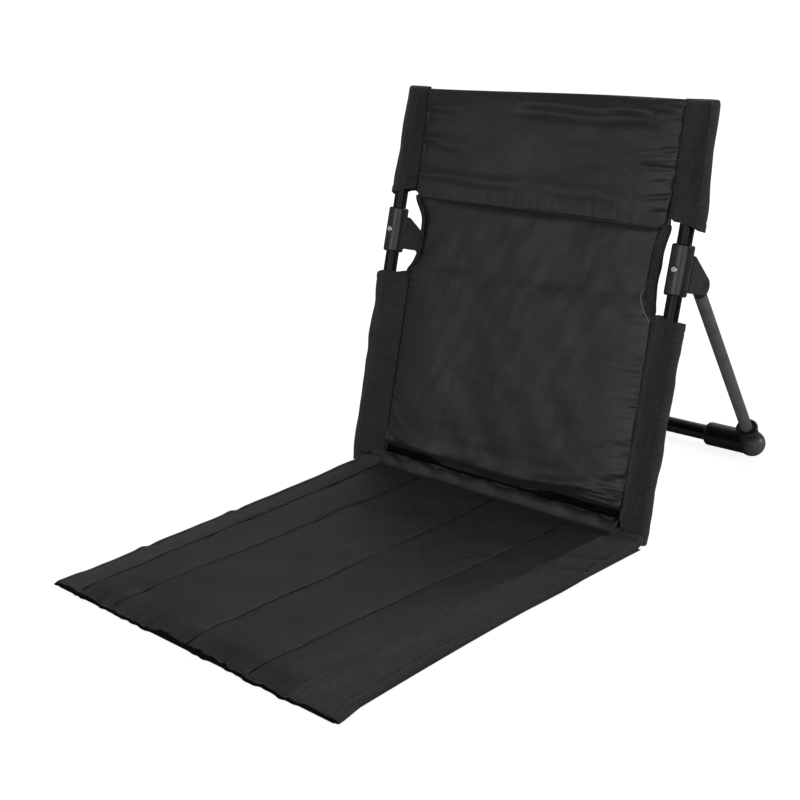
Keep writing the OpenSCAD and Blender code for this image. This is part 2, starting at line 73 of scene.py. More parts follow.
# The row at which the mat's cloth leaves the crease seam
CREASE_ROW = 0.0107
FLAT_L = SEAT_L - CREASE_ROW


def mm(*rows):
    """A table of millimetres, turned into metres."""
    return np.array(rows) / 1000


# How the soft cloth hangs on the frame, each as (how far up, how far across)

PANEL_LEFT = mm(
    (0, 158), (120, 159), (236, 160.5), (243, 167), (252, 160.5), (268, 156.5),
    (290, 155.5), (308, 157.5), (320, 162), (330, 168), (350, 169),
)
PANEL_RIGHT = mm(
    (0, 180.5), (120, 177.5), (236, 174.5), (243, 177), (252, 174), (268, 172.5),
    (300, 172.5), (320, 174), (330, 177), (350, 174),
)
HEAD_LEFT = mm((329, 156), (334, 165), (341, 169.2), (400, 172.5), (465, 176))
HEAD_RIGHT = mm((329, 160), (334, 169), (341, 172.8), (400, 171.8), (465, 169.2))
# The piping that shows at a notch's lower corner: how far up, and how far in from the panel's edge
# before the share of that which each side takes
PIPING_LINE = mm((231, -1), (234.5, 2.6), (241, 10.5), (248, 14), (256, 16.5), (264, 18.2))
PIPING_SHARES = {"left": 0.55, "right": 0.74}
# How far each tunnel reaches outwards from its pole, by how far up
OUTER = {
    "back_left": mm((0, 10.2), (60, 11.2), (238, 15.4)),
    "back_right": mm((0, 18.5), (120, 17.2), (238, 16.4)),
    "head_left": mm((337, 13), (465, 9.8)),
    "head_right": mm((337, 19.4), (400, 15), (465, 10)),
}
# The mat lies askew: its sides and seams at the crease and at its front, all across
MAT_REAR = (-0.188, 0.215)
MAT_FRONT = (-0.2295, 0.168)
SEAM_REAR = (0.0945, 0.262, 0.535, 0.785, 0.912)
SEAM_FRONT = (0.087, 0.2134, 0.506, 0.7212, 0.856)


# Shapes

def together(*columns):
    """Columns of numbers, or single ones, side by side."""
    return np.stack(np.broadcast_arrays(*columns), axis=-1)


def on_back(x, s, front):
    """Places of points given in the back's own coordinates."""
    y = CREASE_Y + s * math.sin(LEAN) - front * math.cos(LEAN)
    z = s * math.cos(LEAN) + front * math.sin(LEAN)
    return together(x, y, z)


def ripples(a, b, wave, seed, stretch=1.0):
    """A gentle random swell over a surface, from about -1 to 1."""
    count = 8
    draw = np.random.default_rng(seed)
    total = 0.0
    for _ in range(count):
        turn = draw.uniform(0, math.pi)
        length = wave * draw.uniform(0.6, 1.7)
        shift = draw.uniform(0, math.tau)
        along = a * math.cos(turn) * stretch + b * math.sin(turn)
        total += np.sin(math.tau * along / length + shift)
    return total / math.sqrt(count)


def waves(a, b, *rows):
    """Random swells, each a row: height and wavelength in millimetres, seed and perhaps stretch."""
    return sum(0.001 * height * ripples(a, b, 0.001 * wave, *more) for height, wave, *more in rows)


def ease(low, high, value):
    """A share that rises from 0 at low to 1 at high, or falls where high is below low."""
    t = np.clip((value - low) / (high - low), 0, 1)
    return t * t * (3 - 2 * t)


def window(value, start, full, fall, end):
    """A share that is 1 from full to fall, and 0 before start and after end."""
    return ease(start, full, value) * ease(end, fall, value)


def hump(off, width):
    """A bell of height 1."""
    return np.exp(-((off / width) ** 2))


def swelling(away, reach):
    """How far cloth has filled out at a distance from its seam, from 0 to 1."""
    return 1 - np.exp(-away / reach)


def rounded(distance, radius):
    """Height of a rounded edge at a distance in from it, from 0 to 1."""
    t = np.clip(distance / radius, 0, 1)
    return np.sqrt(np.clip(1 - (1 - t) ** 2, 0, 1))


def segment(a, b, start, end):
    """Each point's share of the way along a segment, and how far it lies beside it."""
    start, end = np.array(start), np.array(end)
    length = np.linalg.norm(end - start)
    way = (end - start) / length
    along = ((a - start[0]) * way[0] + (b - start[1]) * way[1]) / length
    return along, (b - start[1]) * way[0] - (a - start[0]) * way[1]


def fold(a, b, start, end, width):
    """A ridge of height 1 along a segment that fades at both ends."""
    along, off = segment(a, b, start, end)
    return hump(off, width) * window(along, 0, 0.35, 0.7, 1)


def fan(a, b, tip, end, width, steep):
    """A ridge that starts narrow at a seam and fades wide. steep narrows its lower side."""
    along, off = segment(a, b, tip, end)
    wide = width * (0.35 + 0.9 * np.clip(along, 0, 1))
    wide = np.where(off < 0, wide / steep, wide)
    return hump(off, wide) * window(along, -0.12, 0.05, 0.35, 1)


def pleat(a, b, start, end, width):
    """Slack that folds over: raised on its upper side and sunk on its lower one."""
    along, off = segment(a, b, start, end)
    off = off / width + 0.3 * np.sin(along * 7 + start[0] * 50)
    return 1.65 * off * hump(off, 1) * window(along, 0, 0.25, 0.75, 1)


def creases(shape, a, b, *rows):
    """Folds or pleats, each a row in millimetres: height, start, end and width."""
    total = 0.0
    for height, a_start, b_start, a_end, b_end, width in mm(*rows):
        total += height * shape(a, b, (a_start, b_start), (a_end, b_end), width)
    return total


def gathers(along, away, seed, pitch, reach):
    """Cloth gathered at a seam: short uneven ridges that fade away from it."""
    draw = np.random.default_rng(seed)
    wander = 0.0035 * np.sin(along * 61 + draw.uniform(0, 6))
    wander += 0.0022 * np.sin(along * 173 + draw.uniform(0, 6))
    ticks = np.sin(math.tau * (along + wander + 0.15 * away) / pitch)
    ticks += 0.6 * np.sin(math.tau * (along * 1.63 + wander - 0.1 * away) / pitch + 1.0)
    patch = np.sin(along * 47 + draw.uniform(0, 6)) * np.sin(along * 91 + draw.uniform(0, 6))
    patch = 0.55 + 0.45 * patch
    return ticks * patch * np.exp(-away / (reach * (0.6 + 0.9 * patch))) * swelling(away, 0.0012)


def even_and_edges(count, edge):
    """Shares from 0 to 1, evenly spread with more of them close to both ends."""
    edges = np.array([0, 0.06, 0.16, 0.32, 0.55, 0.8]) * edge
    return np.concatenate([edges, np.linspace(edge, 1 - edge, count), 1 - edges[::-1]])


def dense_ends(length, fine, coarse, zone):
    """Shares from 0 to 1 along a length: fine steps within a zone of both ends, coarse ones between."""
    near = np.arange(0, zone, fine) / length
    count = max(2, int((length - 2 * zone) / coarse))
    return np.concatenate([near, np.linspace(zone / length, 1 - zone / length, count), 1 - near[::-1]])


def lengths(path):
    """The length of a path up to each of its points."""
    return np.concatenate([[0], np.cumsum(np.linalg.norm(np.diff(path, axis=0), axis=1))])


def walk(path, at):
    """Points at the given distances along a path."""
    so_far = lengths(path)
    return together(*(np.interp(at, so_far, column) for column in path.T))


def closed_curve(points, count):
    """Even points along a smooth closed curve through the given ones."""
    before, here, after, beyond = (np.roll(points, shift, axis=0)[:, None] for shift in (1, 0, -1, -2))
    t = np.linspace(0, 1, 24, endpoint=False)[:, None]
    curve = 2 * here + (after - before) * t + (2 * before - 5 * here + 4 * after - beyond) * t**2
    curve = 0.5 * (curve + (3 * here - before - 3 * after + beyond) * t**3)
    curve = curve.reshape(-1, 2)
    curve = np.vstack([curve, curve[:1]])
    return walk(curve, np.linspace(0, lengths(curve)[-1], count, endpoint=False))


def turns(count):
    """Even angles once round a circle."""
    return np.linspace(0, math.tau, count, endpoint=False)


def unit(vector):
    return vector / np.linalg.norm(vector)


def put(name, data):
    """A new object in the scene."""
    made = bpy.data.objects.new(name, data)
    bpy.context.scene.collection.objects.link(made)
    return made


def cloth_mesh(name, points, faces, metres):
    """A smooth piece with its cloth laid out in metres, for the weave."""
    mesh = bpy.data.meshes.new(name)
    mesh.from_pydata(np.asarray(points, dtype=float).tolist(), [], faces)
    layer = mesh.uv_layers.new(name="UVMap")
    corners = np.empty(len(mesh.loops), dtype=np.int32)
    mesh.loops.foreach_get("vertex_index", corners)
    layer.data.foreach_set("uv", np.asarray(metres, dtype=np.float32)[corners].ravel())
    mesh.validate()
    mesh.shade_smooth()
    return put(name, mesh)


def quads(index):
    """Faces between neighbours in a grid of point numbers."""
    corners = (index[:-1, :-1], index[:-1, 1:], index[1:, 1:], index[1:, :-1])
    return np.stack([corner.ravel() for corner in corners], axis=1)


def pillow(name, upper, lower, metres):
    """A closed pad between two grids of points that share their rims."""
    rows, cols = upper.shape[:2]
    index = np.arange(rows * cols).reshape(rows, cols)
    under = index.copy()
    under[1:-1, 1:-1] = rows * cols + np.arange((rows - 2) * (cols - 2)).reshape(rows - 2, cols - 2)
    points = np.concatenate([upper.reshape(-1, 3), lower[1:-1, 1:-1].reshape(-1, 3)])
    laid = np.concatenate([metres.reshape(-1, 2), metres[1:-1, 1:-1].reshape(-1, 2)])
    return cloth_mesh(name, points, quads(index).tolist() + quads(under)[:, ::-1].tolist(), laid)


def tunnel(name, rows, joined=False):
    """A skin through rings of points, each with its layout in metres. Its ends are capped or joined."""
    rings, metres = (np.array([row[k] for row in rows]) for k in range(2))
    index = np.arange(rings.shape[0] * rings.shape[1]).reshape(rings.shape[:2])
    faces = quads(np.concatenate([index, index[:, :1]], axis=1)).tolist()
    piece = cloth_mesh(name, rings.reshape(-1, 3), faces, metres.reshape(-1, 2))
    work = bmesh.new()
    work.from_mesh(piece.data)
    if joined:
        bmesh.ops.remove_doubles(work, verts=work.verts, dist=1e-7)
    else:
        open_edges = [edge for edge in work.edges if edge.is_boundary]
        bmesh.ops.holes_fill(work, edges=open_edges, sides=0)
    bmesh.ops.recalc_face_normals(work, faces=work.faces)
    work.to_mesh(piece.data)
    work.free()
    piece.data.shade_smooth()
    return piece


def stitches(name, runs, pitch, share, radius):
    """Sewing thread: short plump stitches along each run of points."""
    around = 5
    angle = turns(around)[:, None]
    points, faces, laid = [], [], []
    for run in runs:
        for k in range(max(1, int(lengths(run)[-1] / pitch))):
            first, last = walk(run, (k + 0.5 + np.array([-share / 2, share / 2])) * pitch)
            side = unit(np.cross(unit(last - first), (0.3, 0.2, 0.9)))
            rise = np.cross(unit(last - first), side)
            ring = 0.85 * radius * (side * np.cos(angle) + rise * np.sin(angle))
            near, far = (first + (last - first) * at for at in (0.22, 0.78))
            base = len(points)
            points += [first, *(near + ring), *(far + ring), last]
            for turn in range(around):
                a, b = base + 1 + turn, base + 1 + (turn + 1) % around
                faces += [(base, a, b), (a, a + around, b + around, b)]
                faces.append((a + around, base + 1 + 2 * around, b + around))
            laid += [(k * pitch, 0)] * (2 + 2 * around)
    return cloth_mesh(name, points, faces, laid)


# Shader groups: each puts out heights, masks and tones for the materials below

class Sketch:
    """Places and joins nodes in one tree."""

    def __init__(self, tree):
        self.tree = tree

    def feed(self, socket, value):
        if isinstance(value, bpy.types.NodeSocket):
            self.tree.links.new(value, socket)
        else:
            socket.default_value = value

    def node(self, kind, given=(), **settings):
        """A new node. given pairs its inputs, by name or number, with values or sockets."""
        made = self.tree.nodes.new("ShaderNode" + kind)
        for key, value in settings.items():
            setattr(made, key, value)
        for key, value in dict(given).items():
            self.feed(made.inputs[key], value)
        return made

    def maths(self, operation, *values):
        return self.node("Math", enumerate(values), operation=operation).outputs[0]

    def add(self, a, b):
        return self.maths("ADD", a, b)

    def less(self, a, b):
        return self.maths("SUBTRACT", a, b)

    def times(self, a, b):
        return self.maths("MULTIPLY", a, b)

    def noise(self, vector, scale, detail, roughness=0.55):
        given = {"Vector": vector, "Scale": scale, "Detail": detail, "Roughness": roughness}
        return self.node("TexNoise", given).outputs["Fac"]

    def random(self, dimensions, **given):
        return self.node("TexWhiteNoise", given, noise_dimensions=dimensions).outputs["Value"]

    def remap(self, value, low, high, to_low=0.0, to_high=1.0):
        given = {"Value": value, "From Min": low, "From Max": high, "To Min": to_low, "To Max": to_high}
        return self.node("MapRange", given).outputs["Result"]

    def mix_colour(self, factor, first, second):
        given = {"Factor": factor, "A": first, "B": second}
        return self.node("Mix", given, data_type="RGBA").outputs["Result"]

    def bump(self, height, strength, distance, **more):
        given = {"Height": height, "Strength": strength, "Distance": distance, **more}
        return self.node("Bump", given).outputs["Normal"]

    def placed(self, tree, **values):
        made = self.node("Group", node_tree=tree)
        for key, value in values.items():
            self.feed(made.inputs[key.replace("_", " ")], value)
        return made.outputs


def group(name, inputs, outputs):
    """A new shader group: its sketch, what it is given and what it puts out. None marks a vector."""
    tree = bpy.data.node_groups.new(name, "ShaderNodeTree")
    for label, value in inputs.items():
        kind = "NodeSocketVector" if value is None else "NodeSocketFloat"
        socket = tree.interface.new_socket(label, in_out="INPUT", socket_type=kind)
        if value is not None:
            socket.default_value = value
    for label in outputs:
        tree.interface.new_socket(label, in_out="OUTPUT", socket_type="NodeSocketFloat")
    given, out = tree.nodes.new("NodeGroupInput"), tree.nodes.new("NodeGroupOutput")
    return Sketch(tree), given.outputs, out.inputs


def build_weave():
    """Plain weave: threads that pass over and under each other, each with its own tone."""
    inputs = {"Metres": None, "Threads Per Metre": 1000.0, "Unevenness": 0.3}
    g, given, out = group("Woven threads", inputs, ["Height", "Thread Tone"])
    wander = g.times(g.less(g.noise(given["Metres"], 160.0, 2.0), 0.5), given["Unevenness"])
    apart = g.node("SeparateXYZ", {0: given["Metres"]}).outputs
    across, along = (g.add(g.times(apart[axis], given["Threads Per Metre"]), wander) for axis in "XY")
    warp, weft = g.maths("FLOOR", across), g.maths("FLOOR", along)
    round_across = g.maths("SINE", g.times(g.less(across, warp), math.pi))
    round_along = g.maths("SINE", g.times(g.less(along, weft), math.pi))
    over = g.maths("FLOORED_MODULO", g.add(warp, weft), 2.0)
    under = g.less(1.0, over)
    warp_up = g.times(round_across, g.add(g.times(round_along, 0.5), 0.5))
    weft_up = g.times(round_along, g.add(g.times(round_across, 0.5), 0.5))
    g.feed(out["Height"], g.add(g.times(warp_up, over), g.times(weft_up, under)))
    # The added number keeps the weft's tones apart from the warp's
    warp_tone, weft_tone = g.random("1D", W=warp), g.random("1D", W=g.add(weft, 500.5))
    thread = g.add(g.times(warp_tone, over), g.times(weft_tone, under))
    crossing = g.random("2D", Vector=g.node("CombineXYZ", {0: warp, 1: weft}).outputs[0])
    g.feed(out["Thread Tone"], g.add(g.times(crossing, 0.7), g.times(thread, 0.3)))
    return g.tree


def build_handling():
    """Cloth that has been folded and handled: broad tone, fine crumple and stray lint."""
    inputs = {"Metres": None, "Patch Size": 12.0, "Crumple Size": 60.0}
    g, given, out = group("Handled cloth", inputs, ["Tone", "Crumple", "Lint"])
    g.feed(out["Tone"], g.remap(g.noise(given["Metres"], given["Patch Size"], 4.0, 0.6), 0.3, 0.7))
    g.feed(out["Crumple"], g.noise(given["Metres"], given["Crumple Size"], 5.0, 0.62))
    g.feed(out["Lint"], g.remap(g.noise(given["Metres"], 900.0, 1.0, 0.5), 0.56, 0.8))
    return g.tree


def build_grain():
    """The fine spark-etched grain of moulded plastic, with a slow waviness."""
    inputs = {"Place": None, "Grains Per Metre": 2500.0}
    g, given, out = group("Moulded grain", inputs, ["Height", "Mottle"])
    fine = g.noise(given["Place"], given["Grains Per Metre"], 2.0)
    slow = g.noise(given["Place"], 90.0, 2.0)
    g.feed(out["Height"], g.add(g.times(fine, 0.6), g.times(slow, 0.8)))
    g.feed(out["Mottle"], g.remap(slow, 0.35, 0.65))
    return g.tree


def build_wear():
    """Thin rub marks and scratches, more of them where the part is handled."""
    inputs = {"Place": None, "Amount": 0.3, "Stretch": 6.0}
    g, given, out = group("Rub marks", inputs, ["Mask", "Smudge"])
    shape = g.node("CombineXYZ", {0: given["Stretch"], 1: given["Stretch"], 2: 1.0}).outputs[0]
    squeezed = g.node("VectorMath", {0: given["Place"], 1: shape}, operation="MULTIPLY").outputs[0]
    marks = g.noise(squeezed, 260.0, 5.0, 0.7)
    patch = g.noise(given["Place"], 22.0, 2.0)
    level = g.less(0.78, g.times(given["Amount"], 0.2))
    mask = g.remap(marks, level, g.add(level, 0.05))
    g.feed(out["Mask"], g.times(mask, g.remap(patch, 0.4, 0.62)))
    g.feed(out["Smudge"], g.remap(g.noise(given["Place"], 55.0, 4.0, 0.6), 0.3, 0.75))
    return g.tree


WEAVE, HANDLING, GRAIN, WEAR = build_weave(), build_handling(), build_grain(), build_wear()


# Materials

def material(name, **plain):
    made = bpy.data.materials.new(name)
    made.use_nodes = True
    made.node_tree.nodes.clear()
    sketch = Sketch(made.node_tree)
    skin = sketch.node("BsdfPrincipled")
    sketch.node("OutputMaterial", {"Surface": skin.outputs["BSDF"]})
    for key, value in plain.items():
        skin.inputs[key.replace("_", " ")].default_value = value
    return made, sketch, skin.inputs


def linear(code):
    """Linear colour from its usual six-digit code."""
    parts = [int(code[k : k + 2], 16) / 255 for k in (0, 2, 4)]
    return tuple(c / 12.92 if c <= 0.04045 else ((c + 0.055) / 1.055) ** 2.4 for c in parts) + (1.0,)


LINT, STEEL_SHINE, SHEEN_TINT = linear("8c8c88"), linear("f4f4f2"), linear("9a9aa2")


def cloth(name, dark, light, threads, relief, crumple, rough, sheen, patch, uneven=0.35, gloss=0.5):
    """A woven cloth: thread relief and tone, crumple and broad handling marks."""
    sheen_look = {"Sheen_Weight": sheen, "Sheen_Roughness": 0.45, "Sheen_Tint": SHEEN_TINT}
    made, sketch, skin = material(name, Specular_IOR_Level=gloss, **sheen_look)
    laid = sketch.node("TexCoord").outputs["UV"]
    weave = sketch.placed(WEAVE, Metres=laid, Threads_Per_Metre=threads, Unevenness=uneven)
    handled = sketch.placed(HANDLING, Metres=laid, Patch_Size=patch, Crumple_Size=42.0)
    tone = sketch.times(weave["Thread Tone"], 0.45)
    tone = sketch.add(tone, sketch.times(handled["Tone"], 0.35))
    tone = sketch.add(tone, sketch.times(weave["Height"], 0.25))
    colour = sketch.mix_colour(tone, linear(dark), linear(light))
    colour = sketch.mix_colour(sketch.times(handled["Lint"], 0.12), colour, LINT)
    sketch.feed(skin["Base Color"], colour)
    sketch.feed(skin["Roughness"], sketch.remap(handled["Tone"], 0, 1, rough + 0.06, rough - 0.06))
    soft = sketch.bump(handled["Crumple"], 0.6, crumple)
    sketch.feed(skin["Normal"], sketch.bump(weave["Height"], 0.7, relief, Normal=soft))
    return made


# Kinds of hard skin: grains per metre, stretch of the rub marks and how much they show, how much
# roughness is added at least and at most, the grain's strength and depth, and the coat's roughness
PAINT = (900.0, 7.0, 0.5, 0.0, 0.14, 0.35, 0.00006, 0.12)
MOULD = (2600.0, 3.0, 0.35, -0.05, 0.1, 0.5, 0.00008, 0.03)
# Where the feet's outer heels are painted lighter, a painted highlight: from none to fully, outwards and
# downwards
LIT_HEEL_OUT, LIT_HEEL_LOW = (0.188, 0.204), (0.03, 0.022)


def hard(name, kind, dark, light, rough, coat, marks, mark_colour, gloss, heel=None):
    """A coated or moulded skin: grain, mottle, smudges and rub marks, and on the feet a painted highlight,
    a lighter outer heel.
    """
    grains, stretch, shown, least, most, strength, depth, coat_rough = kind
    coat_look = {"Coat_Weight": coat, "Coat_Roughness": coat_rough}
    made, sketch, skin = material(name, Specular_IOR_Level=gloss, **coat_look)
    place = sketch.node("TexCoord").outputs["Object"]
    grain = sketch.placed(GRAIN, Place=place, Grains_Per_Metre=grains)
    wear = sketch.placed(WEAR, Place=place, Amount=marks, Stretch=stretch)
    colour = sketch.mix_colour(grain["Mottle"], linear(dark), linear(light))
    colour = sketch.mix_colour(sketch.times(wear["Mask"], shown), colour, linear(mark_colour))
    # Painted highlight: the feet's outer heels are made lighter, as if lit from the side, mottled by the
    # smudge noise
    if heel:
        apart = sketch.node("SeparateXYZ", {"Vector": place}).outputs
        outwards = sketch.remap(sketch.maths("ABSOLUTE", apart["X"]), *LIT_HEEL_OUT)
        lit_share = sketch.times(outwards, sketch.remap(apart["Z"], *LIT_HEEL_LOW))
        lit_mottled = sketch.times(lit_share, sketch.remap(wear["Smudge"], 0, 1, 0.6, 1.0))
        colour = sketch.mix_colour(lit_mottled, colour, linear(heel))
    sketch.feed(skin["Base Color"], colour)
    sketch.feed(skin["Roughness"], sketch.remap(wear["Smudge"], 0, 1, rough + least, rough + most))
    sketch.feed(skin["Normal"], sketch.bump(grain["Height"], strength, depth))
    return made


def bright_steel(name, colour_code, rough):
    made, sketch, skin = material(name, Metallic=1.0)
    place = sketch.node("TexCoord").outputs["Object"]
    wear = sketch.placed(WEAR, Place=place, Amount=0.6, Stretch=2.0)
    sketch.feed(skin["Base Color"], sketch.mix_colour(wear["Smudge"], linear(colour_code), STEEL_SHINE))
    sketch.feed(skin["Roughness"], sketch.remap(wear["Smudge"], 0, 1, rough, rough + 0.15))
    sketch.feed(skin["Normal"], sketch.bump(wear["Mask"], 0.3, 0.00004))
    return made


# Cloths: darkest and lightest colour, threads per metre, height of threads and of crumple,
# roughness, sheen, patches per metre, unevenness of the threads, and gloss
SATIN = cloth("panel_polyester", "121316", "313238", 2600.0, 0.00007, 0.002, 0.39, 0.1, 19.0)
OXFORD = cloth("border_oxford", "010101", "353531", 520.0, 0.0011, 0.001, 0.52, 0.55, 26.0, 0.9, 0.45)
TAPE = cloth("binding_tape", "101010", "30302e", 700.0, 0.00016, 0.0004, 0.65, 0.15, 20.0, 0.4, 0.35)
# Near-black tape for the front hem, partly its own colour and partly painted shade under the front edge,
# and for the low strip on the back panel, painted shade for the gap above the roll
BINDING_PAINTED_SHADE = cloth("binding_painted_shade", "010101", "070707", 700.0, 0.00012, 0.0003, 0.85, 0.0, 20.0, 0.4, 0.1)
UNDERCLOTH = cloth("coated_undercloth", "141415", "232325", 1400.0, 0.0001, 0.0008, 0.45, 0.08, 8.0, 0.3)
# Near-black, matt thread: real stitches whose colour is also painted shade for the dark seam lines and
# grooves
THREAD_PAINTED_SHADE = cloth("sewing_thread_painted_shade", "020202", "070707", 4200.0, 0.00004, 0.0001, 0.95, 0.0, 30.0, 0.2, 0.05)
# The piping cord is real, but its pale grey is a painted highlight along it
PIPING_PAINTED_HIGHLIGHT = cloth("piping_cord_painted_highlight", "5c5c5b", "7e7e7c", 2200.0, 0.00006, 0.0002, 0.6, 0.2, 30.0, 0.3)
# Hard skins: darkest and lightest colour, roughness, coat, amount and colour of marks, and gloss
BLACK_TUBE = hard("black_powder_coat", PAINT, "010101", "040405", 0.26, 0.0, 0.2, "3c3c40", 0.24)
BAR_TUBE = hard("bar_powder_coat", PAINT, "020202", "080809", 0.2, 0.4, 0.2, "3c3c40", 0.6)
GREY_TUBE = hard("grey_powder_coat", PAINT, "606262", "727474", 0.34, 0.15, 0.15, "a2a4a4", 0.5)
BRACKET = hard("bracket_plastic", MOULD, "1f1f22", "2a2a2f", 0.24, 0.0, 0.35, "85858a", 0.5)
BLACK_PLASTIC = hard("black_plastic", MOULD, "121212", "262626", 0.24, 0.0, 0.6, "85858a", 0.5)
# The feet's last colour is the painted highlight on their outer heels
FOOT_PLASTIC = hard("foot_plastic", MOULD, "0c0c0c", "1c1c1c", 0.22, 0.0, 0.6, "85858a", 0.5, "666866")
SCREW = bright_steel("plated_steel", "c4c4c6", 0.22)
PIN = hard("blackened_pin", PAINT, "131314", "26262a", 0.34, 0.0, 0.5, "707074", 0.5)


# Hard parts: the solids' own meshes, and softened copies for the moulded brackets and feet

def dress(piece, skin, body, slot, *nodes):
    """Gives a piece its material, the body it moves with and the solids it stands for."""
    piece.data.materials.append(skin)
    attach(piece, body)
    if nodes:
        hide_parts(*nodes)
    return piece


def paint(node, skin):
    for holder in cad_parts[node].material_slots:
        holder.material = skin


def softened(name, node, voxel, passes):
    """A copy of a solid's shape with softened edges."""
    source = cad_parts[node]
    piece = put(name, source.data.copy())
    piece.matrix_world = source.matrix_world.copy()
    melt = piece.modifiers.new("melt", "REMESH")
    melt.mode = "VOXEL"
    melt.voxel_size = voxel
    soften = piece.modifiers.new("soften", "SMOOTH")
    soften.factor = 0.5
    soften.iterations = passes
    bpy.context.view_layer.update()
    shaped = bpy.data.meshes.new_from_object(piece.evaluated_get(bpy.context.evaluated_depsgraph_get()))
    piece.modifiers.clear()
    piece.data = shaped
    shaped.transform(piece.matrix_world)
    piece.matrix_world = Matrix.Identity(4)
    shaped.materials.clear()
    shaped.shade_smooth()
    return piece


SIDED_SKINS = {
    "lower_pole": BLACK_TUBE,
    "upper_pole": BLACK_TUBE,
    "leg_tube": GREY_TUBE,
    "pole_cap": BLACK_PLASTIC,
    "base_corner": BLACK_PLASTIC,
    "leg_knuckle": BLACK_PLASTIC,
}
paint("base_tube", BLACK_TUBE)
paint("rear_cross_bar", BAR_TUBE)
paint("bracket_screws", SCREW)
paint("pivot_pins", PIN)
for side in ("left", "right"):
    for stem, skin in SIDED_SKINS.items():
        paint(f"{stem}_{side}", skin)
    bracket = softened(f"bracket_{side}", f"hinge_bracket_{side}", 0.00055, 5)
    dress(bracket, BRACKET, "back_frame", "bracket_plastic", f"hinge_bracket_{side}")
    elbow = softened(f"foot_{side}", f"foot_elbow_{side}", 0.0008, 9)
    dress(elbow, FOOT_PLASTIC, "leg_frame", "black_plastic", f"foot_elbow_{side}")


# Cloth of the back

def along_curve(points, s):
    """A value along a table of (how far up, value), rounded at its points."""
    nudges = (-0.004, -0.002, 0.0, 0.002, 0.004)
    return sum(np.interp(s + nudge, *points.T) for nudge in nudges) / len(nudges)


def notch_curl(s):
    """How far back the left notch's edge curls."""
    return 0.0045 * window(s, 0.25, 0.268, 0.308, 0.326)


def to_rim(to_left, to_right, s):
    """How far a panel's points lie in from its nearest rim."""
    return np.minimum(np.minimum(to_left, to_right), np.minimum(s - s[0], s[-1] - s))


def panel_relief(x, s, to_left, to_right):
    """Slack, pulls and puckers over the front of the back panel."""
    out = waves(x, s, (1.3, 150, 11), (0.6, 55, 12), (0.2, 20, 14))
    low = ease(0.24, 0.1, s)
    out += 0.002 * gathers(s, to_right, 15, 0.01, 0.013) * (0.3 + 0.7 * low)
    out += 0.0007 * gathers(s, to_left, 16, 0.011, 0.012)
    out += 0.0005 * gathers(x, np.maximum(s - 0.018, 0), 17, 0.013, 0.009)
    slack = creases(
        pleat, x, s,
        (3, -168, 47, -55, 20, 7), (1.8, -165, 72, -105, 34, 8.5),
        (3.4, 15, 26, 195, 46, 7.5), (2, 105, 38, 200, 72, 8),
    )
    pulls = creases(
        fold, x, s,
        (1.3, -30, 28, 60, 34, 7), (1.3, -150, 215, -90, 330, 14),
        (1.4, 168, 225, 110, 310, 14), (-1.2, 120, 330, 20, 312, 10),
    )
    return out + slack + pulls


def make_back_panel():
    """The back's padded cloth, with its slack low edge, and a near-black strip along that edge, painted
    shade for the dark gap above the roll.
    """
    share = dense_ends(0.344, 0.0012, 0.0026, 0.03)
    levels = ((0.015, 0.046, 30), (0.047, 0.236, 96), (0.2375, 0.345, 66))
    s = np.concatenate([np.linspace(*level) for level in levels])
    grid_t, grid_s = np.meshgrid(share, s)
    left, right = -along_curve(PANEL_LEFT, grid_s), along_curve(PANEL_RIGHT, grid_s)
    x = left + grid_t * (right - left)
    to_left, to_right = x - left, right - x
    rim = to_rim(to_left, to_right, grid_s)
    edge = rounded(rim, 0.0022)
    swell = swelling(to_left, 0.027) * swelling(to_right, 0.015)
    swell *= swelling(np.maximum(grid_s - 0.016, 0), 0.03)
    calm = 1 - 0.75 * ease(0.235, 0.262, grid_s)
    front = 0.002 * edge + 0.01 * swell * (0.45 + 0.55 * calm)
    front += panel_relief(x, grid_s, to_left, to_right) * ease(0, 0.004, rim)
    tucked = ease(0.322, 0.336, grid_s)
    front -= tucked * np.maximum(front - 0.0015, 0) * 0.8
    # The low edge hangs in a lip, more so towards both sides
    hang = 0.35 + 0.65 * ease(0.05, 0.09, x) + 0.65 * ease(-0.06, -0.1, x)
    front += 0.0046 * hang * hump(grid_s - 0.037, 0.009)
    front -= 0.0125 * hang * ease(0.034, 0.0262, grid_s)
    rear = -0.0022 * edge - 0.0016 * swell
    rear += 0.0006 * ripples(x, grid_s, 0.11, 13) * ease(0, 0.01, rim)
    rear -= 0.007 * hang * ease(0.038, 0.02, grid_s) * edge
    front = np.maximum(front, rear + 0.0008 * edge)
    curl = notch_curl(grid_s) * np.exp(-to_left / 0.016)
    laid = together(x, grid_s)
    panel = pillow("back_cloth", on_back(x, grid_s, front - curl), on_back(x, grid_s, rear - curl), laid)

    # The strip below is painted shade: a near-black band laid on the panel's low edge where the gap above
    # the roll lies in shade
    rows = 14
    top = 0.0195 + 0.0075 * hang[0]
    band_s = s[0] + np.linspace(0.0, 1.0, rows)[:, None] * (top - s[0])
    band_x = np.repeat(x[:1], rows, axis=0)
    columns = [np.interp(band_s[:, k], s, front[:, k]) for k in range(len(share))]
    band_front = np.stack(columns, axis=1)
    over, under = (on_back(band_x, band_s, band_front + proud) for proud in (0.0009, 0.0001))
    return panel, pillow("low_painted_shade", over, under, together(band_x, band_s))


# The headrest's pulls at each side seam: the seam's place across, width and steepness, and for
# each pull how far up it starts, its reach across, height and rise
HEAD_PULLS = (
    (172, 5.0, 2.2, (
        (436.5, -36, 1.6, 2), (413, -30, 1.3, -4), (392.5, -52, 2.3, -1),
        (379.5, -30, 2.0, -6), (364, -46, 2.4, -7), (350, -28, 1.4, -6),
    )),
    (-171, 5.5, 1.5, (
        (440, 40, 1.2, 3), (421, 28, 1.0, -2), (402, 50, 1.4, 2), (386, 24, 1.0, 4), (360, 46, 1.5, -2),
    )),
)


